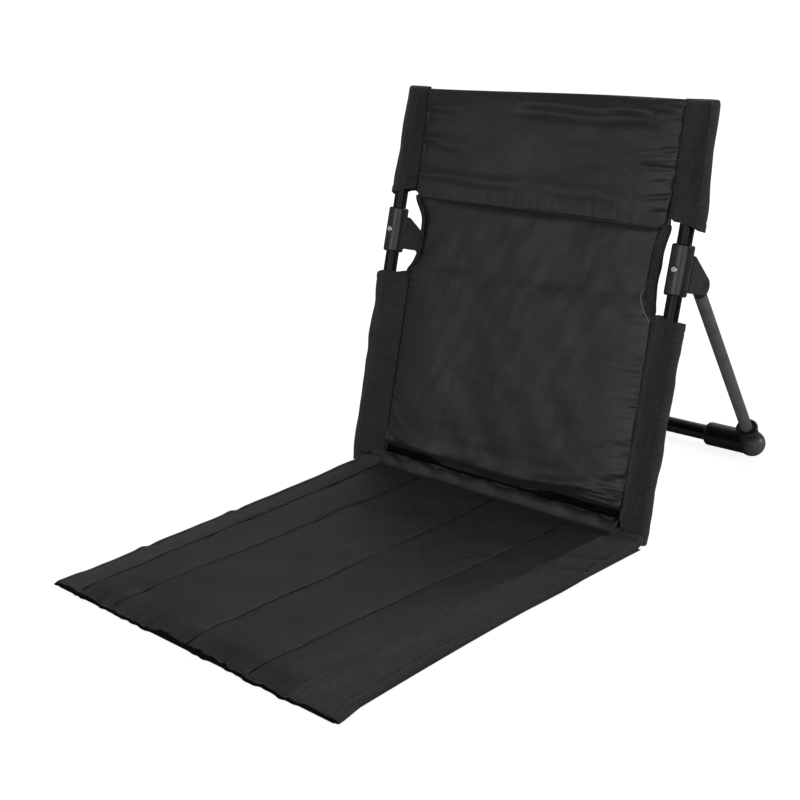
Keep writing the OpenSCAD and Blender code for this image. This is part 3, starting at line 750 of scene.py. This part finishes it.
def headrest_relief(x, s, to_left, to_right):
    """Slack, pulls and puckers over the front of the headrest."""
    out = waves(x, s, (1, 130, 21, 0.6), (0.6, 45, 22, 0.4))
    out += creases(
        pleat, x, s,
        (3.4, -60, 444, 150, 445.5, 8.5), (1.6, 60, 449, 200, 438, 6.5),
        (2, -190, 433, -110, 440, 7.5), (2, -190, 396, -90, 392.5, 8.5),
        (2.4, -190, 353, 5, 356.5, 8), (1, -20, 360, 130, 349, 8),
        (1.4, 10, 401, 150, 388, 11), (1, 70, 376, 190, 360, 8.5),
    )
    for seam, width, steep, pulls in HEAD_PULLS:
        for tip_s, reach, tall, rise in pulls:
            tip, end = mm((seam, tip_s), (seam + reach, tip_s + rise))
            out += 0.001 * tall * fan(x, s, tip, end, 0.001 * width, steep)
    out += 0.001 * gathers(s, to_right, 25, 0.009, 0.014)
    out += 0.0007 * gathers(s, to_left, 26, 0.01, 0.01)
    out += 0.0005 * gathers(x, np.maximum(BACK_TOP - s, 0), 27, 0.021, 0.012)
    return out + 0.0006 * gathers(x, np.maximum(s - HEAD_LOW + 0.009, 0), 28, 0.017, 0.012)


def make_headrest():
    """The padded cloth above the notches."""
    low = HEAD_LOW - 0.0055
    share = dense_ends(0.344, 0.0012, 0.0026, 0.034)
    s = low + (BACK_TOP - low) * dense_ends(0.134, 0.0008, 0.0018, 0.012)
    grid_t, grid_s = np.meshgrid(share, s)
    left = -along_curve(HEAD_LEFT, grid_s) + 0.0006 * np.sin(grid_s * 310)
    right = along_curve(HEAD_RIGHT, grid_s) + 0.0009 * np.sin(grid_s * 260 + 1)
    x = left + grid_t * (right - left)
    across = 2 * grid_t - 1
    lift = -0.003 * ease(-0.6, 1.0, across) * ease(0.375, low, grid_s)
    lift += (0.0012 * np.sin(across * 2.2 + 0.5) - 0.0012) * ease(0.42, BACK_TOP, grid_s)
    to_left, to_right, to_low, to_top = x - left, right - x, grid_s - s[0], s[-1] - grid_s
    rim = to_rim(to_left, to_right, grid_s)
    swell = swelling(np.minimum(to_left, to_right), 0.014) * swelling(to_top, 0.009)
    swell *= (0.35 + 0.65 * ease(0, 0.035, to_low))
    front = 0.002 * rounded(rim, 0.0022) + 0.006 * swell
    front += 0.0012 * hump(to_low - 0.0016, 0.0012) * rounded(rim, 0.001)
    front += headrest_relief(x, grid_s, to_left, to_right) * ease(0, 0.005, rim)
    rear = -0.0022 * rounded(rim, 0.0026) - 0.0016 * swell
    rear += 0.0007 * ripples(x, grid_s, 0.09, 23) * ease(0, 0.01, rim)
    over = 0.0024 * ease(0.372, 0.345, grid_s)
    # The layout's shift keeps the headrest's weave apart from the back panel's
    laid = together(x, grid_s + 0.7)
    upper, lower = (on_back(x, grid_s + lift, side + over) for side in (front, rear))
    return pillow("headrest_cloth", upper, lower, laid)


# A pole tunnel's outline around the pole: how far outwards, and how far in front
TUNNEL_OUTLINE = mm(
    (-23.5, 0), (-21.5, 1.6), (-15, 4.6), (-9, 8.2), (-3, 9.6), (4, 9.8), (9.5, 9.4), (13.5, 7),
    (16, 2.5), (16.4, -3), (13, -7.8), (6, -9.4), (-3, -9.2), (-10, -6.6), (-17, -3), (-22, -1.2),
)
OUTLINE_OUT, OUTLINE_IN = 0.0164, 0.0235


def pole_tunnel(name, hand, low, high, seam, outer, open_high, seed):
    """A flattened cloth tunnel round a pole, open at one end, with a hem there."""
    count = 84
    outline = closed_curve(TUNNEL_OUTLINE, count)
    around = np.linspace(0, 0.092, count, endpoint=False)
    reach = np.hypot(outline[:, 0] * 0.5, outline[:, 1]) + 1e-6
    calm = ease(-0.0225, -0.014, outline[:, 0])
    hem_w, wall = 0.008, 0.0012
    mouth = high if open_high else low

    def ring(s, inside):
        out, front = outline.T
        inner = ease(-0.006, -OUTLINE_IN, out)
        out = out - inner * (POLE_X - OUTLINE_IN + 0.0028 - along_curve(seam, s))
        out = np.where(out > 0, out * along_curve(outer, s) / OUTLINE_OUT, out)
        front = front * (1 + 0.05 * math.sin(38 * s + seed))
        grow = 0.0008 * ripples(around * 1.2, s, 0.07, seed, stretch=0.5)
        grow += 0.0003 * ripples(around, s, 0.024, seed + 1, stretch=0.4)
        from_mouth = abs(s - mouth)
        grow = grow * calm + 0.0006 * ease(hem_w + 0.0006, hem_w, from_mouth)
        grow -= 0.0007 * hump(from_mouth - hem_w, 0.0009)
        if not open_high:
            close = rounded(high - s, 0.006)
            front = front * (0.3 + 0.7 * close)
            out = out * (1 - 0.04 * (1 - close))
        grow -= inside * np.minimum(1, np.abs(front) / 0.004)
        out = out + grow * outline[:, 0] * 0.5 / reach
        front = front + grow * outline[:, 1] / reach
        # Below its closed top the tunnel stays clear of the pole
        if s < BACK_TOP - 0.0035:
            clear = np.maximum(1, (TUBE_R + 0.002 - inside) / np.hypot(out, front))
            out, front = out * clear, front * clear
        ragged = 0.0008 * np.sin(around * 210 + seed) + 0.0003 * np.sin(around * 520 + 2 * seed)
        ragged *= math.exp(-from_mouth / 0.02)
        slant = (0.003 if open_high else 0.005) * ease(0.05, 0.0, from_mouth) * (out / 0.02)
        place = on_back(hand * (POLE_X + out), s - slant + ragged, front)
        place[:, 2] = np.maximum(place[:, 2], 0.0004 + (inside if open_high else 0.0))
        return place, together(around, s + 0.31 * seed)

    outer_levels = low + (high - low) * dense_ends(high - low, 0.0008, 0.003, 0.014)
    first, last = (low + 0.001, high) if open_high else (low, high - 0.003)
    inner_levels = first + (last - first) * even_and_edges(40, 0.05)
    walls = [ring(s, 0.0) for s in outer_levels]
    lining = [ring(s, wall) for s in inner_levels[::-1]]
    if open_high:
        rows = walls + [ring(high + 0.0004, 0.5 * wall)] + lining
    else:
        rows = lining + [ring(low - 0.0004, 0.5 * wall)] + walls
    if hand < 0:
        rows = [(place[::-1], laid[::-1]) for place, laid in rows]
    return tunnel(name, rows)


# The section of a tape folded over a cut edge: how far inwards, and how far in front
TAPE_OUTLINE = mm(
    (-1.2, 0), (-0.7, 2.8), (1.6, 4.6), (5, 6), (8.4, 6.2), (8.2, -1.2), (5, -2.6), (2, -2.6), (-0.4, -1.8),
)


def notch_edge(name, hand, edge):
    """The bound edge round a notch, a flat tape folded over the panel's cut."""
    count = 32
    s = np.linspace(0.2385, 0.3345, 70)
    x = along_curve(edge, s)
    way = together(np.gradient(x), np.gradient(s))
    way = way / np.linalg.norm(way, axis=1)[:, None]
    inwards = together(-way[:, 1], way[:, 0])
    section = closed_curve(TAPE_OUTLINE, count)
    curl = notch_curl(s) * (hand < 0)
    rows = []
    for k, length in enumerate(lengths(together(x, s))):
        across = section[:, 0] + 0.0004 * math.sin(length * 190 + hand) + 0.0003 * math.sin(length * 71)
        front = section[:, 1] * (1 + 0.15 * math.sin(length * 260))
        front -= curl[k] * np.exp(-np.maximum(across, 0) / 0.016)
        place = on_back(hand * (x[k] + inwards[k, 0] * across), s[k] + inwards[k, 1] * across, front)
        laid = together(length, np.linspace(0, 0.02, count))
        rows.append((place[::-1] if hand > 0 else place, laid))
    return tunnel(name, rows)


def cord(name, path, radius):
    """A thin piping cord along points."""
    count = 10
    angle = turns(count)[:, None]
    rows = []
    for k, point in enumerate(path):
        way = unit(path[min(k + 1, len(path) - 1)] - path[max(k - 1, 0)])
        side = unit(np.cross(way, (0, -0.9, 0.4)))
        ring = point + radius * (side * np.cos(angle) + np.cross(side, way) * np.sin(angle))
        rows.append((ring, together(k * 0.001, np.linspace(0, 0.005, count))))
    return tunnel(name, rows)


def make_roll():
    """The rolled ridge along the crease: cloth round the base tube, with slack folds."""
    count = 64
    around = turns(count)
    half = SEAM_X + 0.0005
    centre_y = CREASE_Y + ROLL_H * math.tan(LEAN)

    def ring(x, inside):
        radius = 0.0093 + waves(x, around * 0.012, (0.5, 50, 31, 0.8), (0.3, 17, 32)) - inside
        z = ROLL_H + radius * np.cos(around)
        points = together(x, centre_y + radius * np.sin(around), np.maximum(z, 0.0004 + inside))
        return points, together(x, around * 0.0093)

    rows = [ring(x, 0.0) for x in np.linspace(-half, half, 150)]
    rows += [ring(x, 0.001) for x in np.linspace(half, -half, 60)]
    return tunnel("crease_roll", rows + rows[:1], joined=True)


def make_piping(side, hand, edge):
    """The cord at a notch's lower corner, which sinks into the padding at its inner end."""
    up = np.linspace(PIPING_LINE[0][0], PIPING_LINE[-1][0], 40)
    inset = along_curve(PIPING_LINE, up) * PIPING_SHARES[side]
    if hand > 0:
        proud = 0.0046 * ease(0.232, 0.244, up) - 0.0035 * ease(0.255, 0.264, up)
    else:
        proud = -0.0014 * ease(0.245, 0.264, up)
    x = hand * (along_curve(edge, up) - inset)
    return cord(f"piping_{side}", on_back(x, up, 0.0048 + proud), 0.0009)


def make_side_seams(side, hand, panel_edge, head_edge):
    """Stitches beside a back sleeve, beside a headrest sleeve and along the tape round the notch, in
    near-black thread that is also painted shade for each seam's dark line.
    """
    up = np.linspace(0.02, 0.234, 120)
    low_seam = on_back(hand * along_curve(panel_edge, up), up, 0.0018)
    up = np.linspace(HEAD_LOW + 0.001, BACK_TOP - 0.004, 80)
    high_front = 0.0042 - 0.0024 * ease(0.345, 0.372, up)
    high_seam = on_back(hand * (along_curve(head_edge, up) + 0.0002), up, high_front)
    up = np.linspace(0.24, 0.333, 60)
    curl = 0.6 * notch_curl(up) * (hand < 0)
    tape_seam = on_back(hand * (along_curve(panel_edge, up) - 0.009), up, 0.0056 - curl)
    return stitches(f"side_seams_{side}", [low_seam, high_seam, tape_seam], 0.004, 0.96, 0.0007)


back_cloth, low_painted_shade = make_back_panel()
# The low strip's near-black tape is painted shade for the gap above the roll
dress(low_painted_shade, BINDING_PAINTED_SHADE, "back_frame", "binding_tape")
dress(back_cloth, SATIN, "back_frame", "panel_cloth", "back_panel")
headrest = make_headrest()
dress(headrest, SATIN, "back_frame", "panel_cloth", "headrest_panel")
for side, hand, panel_edge, head_edge, cord_skin in (
    ("left", -1, PANEL_LEFT, HEAD_LEFT, TAPE),
    ("right", 1, PANEL_RIGHT, HEAD_RIGHT, PIPING_PAINTED_HIGHLIGHT),
):
    outer = OUTER[f"back_{side}"]
    sleeve = pole_tunnel(f"back_tunnel_{side}", hand, 0.0, SLEEVE_TOP, panel_edge, outer, True, 41 + hand)
    dress(sleeve, OXFORD, "back_frame", "oxford_cloth", f"back_sleeve_{side}")
    outer = OUTER[f"head_{side}"]
    hood = pole_tunnel(f"head_tunnel_{side}", hand, HEAD_LOW, BACK_TOP, head_edge, outer, False, 51 + hand)
    dress(hood, OXFORD, "back_frame", "oxford_cloth", f"headrest_sleeve_{side}")
    edge = notch_edge(f"notch_edge_{side}", hand, panel_edge)
    dress(edge, TAPE, "back_frame", "binding_tape", f"notch_binding_{side}")
    dress(make_piping(side, hand, panel_edge), cord_skin, "back_frame", "binding_tape")
    dress(make_side_seams(side, hand, panel_edge, head_edge), THREAD_PAINTED_SHADE, "back_frame", "panel_cloth")
roll = make_roll()
dress(roll, OXFORD, "back_frame", "oxford_cloth", "base_sleeve")


# Seat mat

def mat_place(x, v):
    """Where a point of the flat mat comes to lie across, with the mat askew and its seams drawn in."""
    marks = [-SEAT_HALF, *STITCH_LINES, SEAT_HALF]
    past_side = np.clip(x, -SEAT_HALF - 0.02, SEAT_HALF + 0.02) - np.clip(x, -SEAT_HALF, SEAT_HALF)
    share = np.interp(x, marks, [0, *SEAM_REAR, 1]) * (1 - v) + np.interp(x, marks, [0, *SEAM_FRONT, 1]) * v
    bow = 0.005 * np.sin(math.pi * np.clip(v, 0, 1)) * ease(0.6, 1.0, share)
    left, right = (rear + (front - rear) * v for rear, front in zip(MAT_REAR, MAT_FRONT))
    return left + share * (right - left) + past_side - bow


def laid_mat(x, row, height, low_height):
    """Places of a mat point: askew across, along its rows and at its height."""
    v = np.clip((row - CREASE_ROW) / FLAT_L, 0, 1)
    return together(mat_place(x, v), CREASE_Y - row, np.maximum(height, low_height))


def mat_pillow(name, upper, lower, x, row):
    """A closed pad of the mat, laid out by its place across and its row."""
    laid = together(x, row)
    return pillow(name, upper[:, ::-1], lower[:, ::-1], laid[:, ::-1])


def channel_height(x):
    """Quilted channels: gently crowned, pulled down sharply at each stitch line but the last."""
    height = np.zeros_like(x)
    for left, right in zip(STITCH_LINES[:-1], STITCH_LINES[1:]):
        away = np.clip(np.minimum(x - left, right - x), 0, None)
        groove = 1 - np.exp(-((away / 0.0018) ** 1.4))
        if right == STITCH_LINES[-1]:
            groove = np.maximum(groove, 0.35 * ease(0.012, 0.004, right - x))
        broad = np.sin(math.pi * np.clip((x - left) / (right - left), 0, 1)) ** 0.9
        height = np.where((x >= left) & (x <= right), 0.0017 * groove + 0.0026 * broad, height)
    return height


# The mat's rear, from the back of the roll to the flat: how far in front of the roll's axis, and how high
RIDGE_OUTLINE = mm(
    (-2, 13.8), (-1.2, 17.2), (1.8, 19.3), (5.6, 19), (8.8, 16.6),
    (11.2, 13.2), (13, 10.4), (15.2, 8.8), (18, 8.6), (21.5, 9),
)
BORDER_REAR = mm((8.2, 12.8), (10, 15), (12.5, 15.6), (15.2, 13.8), (17.6, 10.8), (20.5, 8.8), (24, 8))


def mat_grid(x, rear_outline, rear_count):
    """A mat piece's top: places across, rows and base heights of its points, and its first row."""
    axis_row = -ROLL_H * math.tan(LEAN)
    at = np.linspace(0, lengths(rear_outline)[-1], rear_count, endpoint=False)
    rear = walk(rear_outline, at)
    for _ in range(3):
        rear[1:-1] = (rear[:-2] + 2 * rear[1:-1] + rear[2:]) / 4
    flat_out, flat_high = rear_outline[-1]
    total = SEAT_L - (axis_row + flat_out)
    ends = dense_ends(total, 0.0009, 0.003, 0.016)
    shares = np.concatenate([np.linspace(0, 0.03, 10), ends[ends > 0.03]])
    row = np.concatenate([axis_row + rear[:, 0], axis_row + flat_out + total * shares])
    high = np.concatenate([rear[:, 1], np.full(len(shares), flat_high)])
    grid_x, grid_k = np.meshgrid(x, np.arange(len(row)))
    return grid_x, row[grid_k], high[grid_k], row[0]


def seat_relief(x, y):
    """Slack over the quilt, with short ripples on both sides of each stitch line."""
    out = waves(x, y, (0.9, 130, 61), (0.4, 45, 62))
    for k, line in enumerate(STITCH_LINES):
        away = np.abs(x - line)
        beside = np.exp(-away / 0.008) * swelling(away, 0.002)
        out += 0.0009 * beside * ripples(x * 0.25, y, 0.03, 63 + k)
    return out


# Where the front edge is folded up (place, width and height) or pinched (place and width), across
# the flat mat
FRONT_LOBES = mm((-12, 20, 4.6), (40, 24, 4.2), (-150, 16, 3), (100, 18, 1.8))
FRONT_PINCHES = mm(
    (-122, 4.5), (-94, 5.5), (-60, 4), (-38, 4.5), (16, 4.5), (72, 3.8), (118, 3.6), (158, 4)
)


def front_edge(x, row):
    """The turned front edge: how far it drops, is lifted, wanders in plan and is pinched."""
    to_front = SEAT_L - row
    drop = rounded(to_front, 0.0042) * (0.5 + 0.5 * ease(0, 0.026, to_front))
    near = np.exp(-np.maximum(to_front, 0) / 0.013)
    lift = 0.0004 + 0.0007 * ripples(x, x * 0, 0.085, 92)
    for place, wide, tall in FRONT_LOBES:
        lift += tall * hump(x - place, wide)
    wander = waves(x, x * 0, (1.1, 60, 93), (0.5, 16, 94))
    pinch = 0.0008 * gathers(x, to_front, 95, 0.019, 0.012)
    for place, wide in FRONT_PINCHES:
        pinch -= 0.0038 * hump(x - place, wide) * np.exp(-to_front / 0.012)
    return drop, near * np.maximum(lift, 0), near * wander, pinch * ease(0, 0.002, to_front)


def quilt_top(x, row, high, first_row):
    """Places of the quilt's top, and how far the front lifts it."""
    drop, lift, wander, pinch = front_edge(x, row)
    to_left, to_right = x - STITCH_LINES[0], STITCH_LINES[-1] - x
    flat = ease(0.008, 0.03, row)
    on_ridge = ease(0.012, 0.004, row)
    height = high - 0.0022 * ease(0.02, 0.08, row)
    height += (channel_height(x) + seat_relief(x, row)) * flat
    height += 0.0004 * gathers(x, np.maximum(row - 0.0135, 0), 72, 0.016, 0.01) * flat
    slack = 0.0017 * ripples(x, row * 0.8, 0.055, 73) + 0.0006 * ripples(x, row, 0.019, 74)
    height += slack * on_ridge * ease(first_row, first_row + 0.004, row) + pinch
    height = 0.0012 + (height - 0.0012) * drop + lift * drop
    # The quilt's sides are tucked down at the ridge, and along both borders
    height -= 0.004 * (1 - rounded(np.minimum(to_left, to_right) + 0.003, 0.0022)) * on_ridge
    height -= 0.002 * ease(0.0004, -0.002, to_left) * flat
    height -= 0.0036 * ease(0.001, -0.0012, to_right) * flat
    return laid_mat(x, row + wander, height, 0.0009), lift


def make_quilt():
    """The quilted middle of the mat, from the ridge over the roll to the front."""
    spans = zip(STITCH_LINES[:-1], STITCH_LINES[1:])
    cols = [dense_ends(b - a, 0.0006, 0.0026, 0.006) * (b - a) + a for a, b in spans]
    tucked = np.array([0.0008, 0.002, 0.0032])
    cols = np.concatenate([STITCH_LINES[0] - tucked, *cols, STITCH_LINES[-1] + tucked])
    x, row, high, first_row = mat_grid(np.unique(np.round(cols, 7)), RIDGE_OUTLINE, 40)
    upper, lift = quilt_top(x, row, high, first_row)
    flat = ease(0.004, 0.012, row)
    lower = upper.copy()
    under = (upper[..., 2] - 0.0011) * (1 - flat) + (0.0011 + lift * 0.5) * flat
    lower[..., 2] = np.minimum(under, upper[..., 2])
    return mat_pillow("seat_quilt", upper, lower, x, row)


def make_seam_threads():
    """The stitches that hold each channel down, sunk in the grooves, in near-black thread that is also
    painted shade for the dark grooves.
    """
    runs = []
    row = np.linspace(0.016, SEAT_L - 0.003, 420)
    for line in STITCH_LINES[:-1]:
        top, _ = quilt_top(line, row, RIDGE_OUTLINE[-1][1], 0.0)
        top[:, 2] += 0.0009 if line == STITCH_LINES[0] else 0.0003
        runs.append(top)
    return stitches("seam_threads", runs, 0.0042, 0.92, 0.00085)


# How far the front corner is drawn out on each side
CORNER_REACH = {-1: 0.0035, 1: 0.006}


def make_border(name, hand):
    """The plain strip along one side of the mat, with its turned edge and its rear at the sleeve."""
    inner = STITCH_LINES[-1] if hand > 0 else -STITCH_LINES[0]
    width = SEAT_HALF - inner
    across = hand * (inner + dense_ends(width, 0.0006, 0.0018, 0.012) * width)
    x, row, high, _ = mat_grid(np.sort(across), BORDER_REAR, 30)
    drop, lift, wander, pinch = front_edge(x, row)
    to_edge, to_seam = SEAT_HALF - np.abs(x), np.abs(x) - inner
    flat = ease(0.01, 0.034, row)
    height = high - 0.0016 * ease(0.02, 0.08, row)
    broad = np.sin(math.pi * np.clip(to_seam / width, 0, 1)) ** 0.7
    height += 0.0018 * broad * flat
    if hand > 0:
        height += 0.0021 * hump(to_seam, 0.005) * flat
    else:
        height -= 0.0012 * np.exp(-((to_seam / 0.0016) ** 1.4)) * flat
    height -= 0.001 * hump(to_edge - 0.0075, 0.0011) * flat
    height += 0.0005 * ease(0.008, 0.0065, to_edge)
    swell = waves(x, row, (1, 85, 81 + hand), (0.5, 28, 83 + hand))
    height += swell * ease(0, 0.008, to_edge)
    if hand > 0:
        pleats = (3.4, 150, 122, 222, 86, 6), (2.6, 155, 80, 222, 56, 4.8), (1.6, 150, 300, 222, 335, 8)
    else:
        pleats = (2, -222, 215, -150, 175, 8), (1.8, -222, 330, -155, 300, 7.5)
    height += creases(pleat, x, row, *pleats)
    height += pinch
    rear_swell = 0.0011 * ripples(x, row, 0.014, 97) * hump(row - 0.004, 0.01)
    height += rear_swell * ease(0, 0.004, to_edge)
    # The rear end is raised, so that its corner follows the roll when the mat folds up
    raised = 0.0052 * ease(0.022, 0.006, row)
    base = 0.001 + raised
    height = base + (height - base) * drop * (0.12 + 0.88 * rounded(to_edge, 0.003)) + lift * drop
    ear = ease(0.3, 1.0, 1 - to_edge / width) * ease(0.035, 0.0, SEAT_L - row)
    stray = 0.0011 * ripples(row, row * 0, 0.15, 85 + hand) * ease(0.02, 0.0, to_edge)
    place_x = x + hand * (CORNER_REACH[hand] * ear + stray)
    upper = laid_mat(place_x, row + wander + 0.001 * ear, height + 0.003 * ear, 0.0009)
    lower = upper.copy()
    lower[..., 2] = np.minimum(0.0009 + raised + lift * 0.5 + 0.0024 * ear, upper[..., 2])
    lower[..., 2] = np.where(row < 0.008, upper[..., 2] - 0.0011, lower[..., 2])
    return mat_pillow(name, upper, lower, x, row)


def make_front_hem():
    """The bound seam under the front edge, a near-black strip that follows its waves and corners; its
    near-black colour is partly the binding's own and partly painted shade under the edge.
    """
    count = 24
    around = turns(count)
    ear_start = 0.165 + 0.3 * 0.043
    rows = []
    for place in np.linspace(-SEAT_HALF, SEAT_HALF, 320):
        _, lift, wander, _ = front_edge(place, SEAT_L)
        ear = ease(ear_start, SEAT_HALF, abs(place))
        thin = 0.55 + 0.45 * rounded(SEAT_HALF - abs(place), 0.008)
        gather = 0.0004 * ripples(place, around * 0.004, 0.012, 98)
        out = -0.001 + (0.003 + gather) * thin * np.cos(around)
        tall = (0.0011 + 0.5 * gather + 0.3 * lift) * thin
        z = 0.0007 + tall + 0.35 * lift + tall * np.sin(around) + 0.0024 * ear
        hand = 1 if place > 0 else -1
        spread = place + hand * CORNER_REACH[hand] * ear
        ring = laid_mat(spread, SEAT_L + wander + out + 0.001 * ear, z, 0.0005)
        rows.append((ring, together(place, around * 0.004)))
    return tunnel("front_hem", rows)


def make_underlay():
    """The cloth under the mat, from the crease seam to the front."""
    share = even_and_edges(40, 0.02) * 2 - 1
    grid_u, grid_v = np.meshgrid(share, even_and_edges(60, 0.02))
    row = CREASE_ROW + grid_v * FLAT_L
    x = grid_u * (SEAT_HALF - 0.0006)
    rim = np.minimum((1 - np.abs(grid_u)) * SEAT_HALF, np.minimum(row - row[0, 0], row[-1, 0] - row))
    edge = rounded(rim, 0.001)
    upper = laid_mat(x, row, 0.0006 + 0.0006 * edge, 0.0)
    lower = upper.copy()
    lower[..., 2] = 0.0006 - 0.0005 * edge
    return mat_pillow("seat_underlay", upper, lower, x, row)


def sewn_mat(piece, skin, node):
    """A mat piece whose rear end runs up onto the roll: its material, its points set in place, and the
    solid it stands for hidden.
    """
    piece.data.materials.append(skin)
    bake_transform(piece)
    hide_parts(node)
    return piece


quilt = sewn_mat(make_quilt(), SATIN, "seat_panel")
dress(make_seam_threads(), THREAD_PAINTED_SHADE, "seat_mat", "panel_cloth")
for side, hand in (("left", -1), ("right", 1)):
    strip = sewn_mat(make_border(f"mat_border_{side}", hand), OXFORD, f"seat_border_{side}")
dress(make_front_hem(), BINDING_PAINTED_SHADE, "seat_mat", "binding_tape", "seat_front_hem")
underlay = make_underlay()
dress(underlay, UNDERCLOTH, "seat_mat", "underside_cloth", "seat_underside")


# Camera, light and ground

# The camera fitted to the photo: azimuth, elevation and roll, place, and focal length in pixels
CAMERA_TURN = (42.14, 20.63, -3.17)
CAMERA_PLACE = (0.808, -1.029 + CREASE_Y, 0.617)
FOCAL_PIXELS, PICTURE_PIXELS = 1238.6, 800
# Each lamp's place, aim, size and watts
LAMPS = {
    "right_low": ((2.3, -1.5, 0.9), (0, 0, 0.25), (2.0, 2.0), 17),
    "front": ((0.3, -2.8, 1.2), (0, 0, 0.25), (2.0, 2.0), 23),
    "front_left": ((-1.6, -2.2, 1.2), (0, 0, 0.25), (2.0, 2.0), 4.5),
    "left": ((-2.4, -0.2, 1.0), (0, 0, 0.2), (1.6, 1.6), 2),
    "top_back": ((-0.1, 1.3, 2.1), (0, -0.15, 0), (1.3, 1.0), 9),
    "right_back": ((2.2, 1.5, 1.0), (0.15, 0.3, 0.15), (1.0, 1.0), 15),
    "behind": ((-0.4, 3.0, 1.4), (0, 0.2, 0.2), (2.0, 2.0), 10),
    "back_left": ((-1.4, 1.0, 1.0), (-0.05, -0.1, 0.02), (1.2, 0.8), 0.9),
}
WORLD_LIGHT = 0.09
GROUND_HALF, GROUND_Z = 30.0, -0.0004
WHITE = (1, 1, 1, 1)


def make_camera():
    a, e, r = (math.radians(t) for t in CAMERA_TURN)
    back = Vector((math.sin(a) * math.cos(e), -math.cos(a) * math.cos(e), math.sin(e)))
    level = Vector((math.cos(a), math.sin(a), 0))
    above = back.cross(level)
    right = level * math.cos(r) + above * math.sin(r)
    up = -level * math.sin(r) + above * math.cos(r)
    data = bpy.data.cameras.new("camera")
    data.sensor_width = 36
    data.lens = FOCAL_PIXELS / PICTURE_PIXELS * data.sensor_width
    data.clip_start = 0.05
    camera = put("camera", data)
    place = Matrix((right, up, back)).transposed().to_4x4()
    place.translation = Vector(CAMERA_PLACE)
    camera.matrix_world = place
    bpy.context.scene.camera = camera


def make_lamps():
    for name, (place, aim, size, watts) in LAMPS.items():
        data = bpy.data.lights.new(name, "AREA")
        data.shape = "RECTANGLE"
        data.size, data.size_y = size
        data.energy = watts
        lamp = put(name, data)
        lamp.location = place
        lamp.rotation_euler = (Vector(aim) - Vector(place)).to_track_quat("-Z", "Y").to_euler()


def make_world():
    """A world that is white to look at, and a dim even light on the object."""
    world = bpy.data.worlds.new("studio")
    bpy.context.scene.world = world
    world.use_nodes = True
    world.node_tree.nodes.clear()
    sketch = Sketch(world.node_tree)
    path = sketch.node("LightPath").outputs
    seen = sketch.maths("MAXIMUM", path["Is Camera Ray"], path["Is Transmission Ray"])
    strength = sketch.remap(seen, 0, 1, WORLD_LIGHT, 1.0)
    shine = sketch.node("Background", {"Color": WHITE, "Strength": strength})
    sketch.node("OutputWorld", {"Surface": shine.outputs[0]})


def make_ground():
    """The pale floor, which glows to the camera and fades to white away from the chair."""
    mesh = bpy.data.meshes.new("ground")
    corners = [(GROUND_HALF * x, GROUND_HALF * y, 0) for x, y in ((-1, -1), (1, -1), (1, 1), (-1, 1))]
    mesh.from_pydata(corners, [], [(0, 1, 2, 3)])
    ground = put("ground", mesh)
    ground.location.z = GROUND_Z
    made, sketch, skin = material("pale_floor", Roughness=0.9, Specular_IOR_Level=0.1)
    skin["Base Color"].default_value = (0.4, 0.4, 0.4, 1)
    place = sketch.node("TexCoord").outputs["Object"]
    away = sketch.node("VectorMath", {0: place}, operation="LENGTH").outputs["Value"]
    glow = sketch.remap(away, 0.5, 1.5, 0.88, 1.0)
    glow = sketch.times(sketch.node("LightPath").outputs["Is Camera Ray"], glow)
    sketch.feed(skin["Emission Color"], WHITE)
    sketch.feed(skin["Emission Strength"], glow)
    mesh.materials.append(made)


make_camera()
make_world()
make_ground()
make_lamps()
bpy.context.scene.view_settings.view_transform = "Standard"
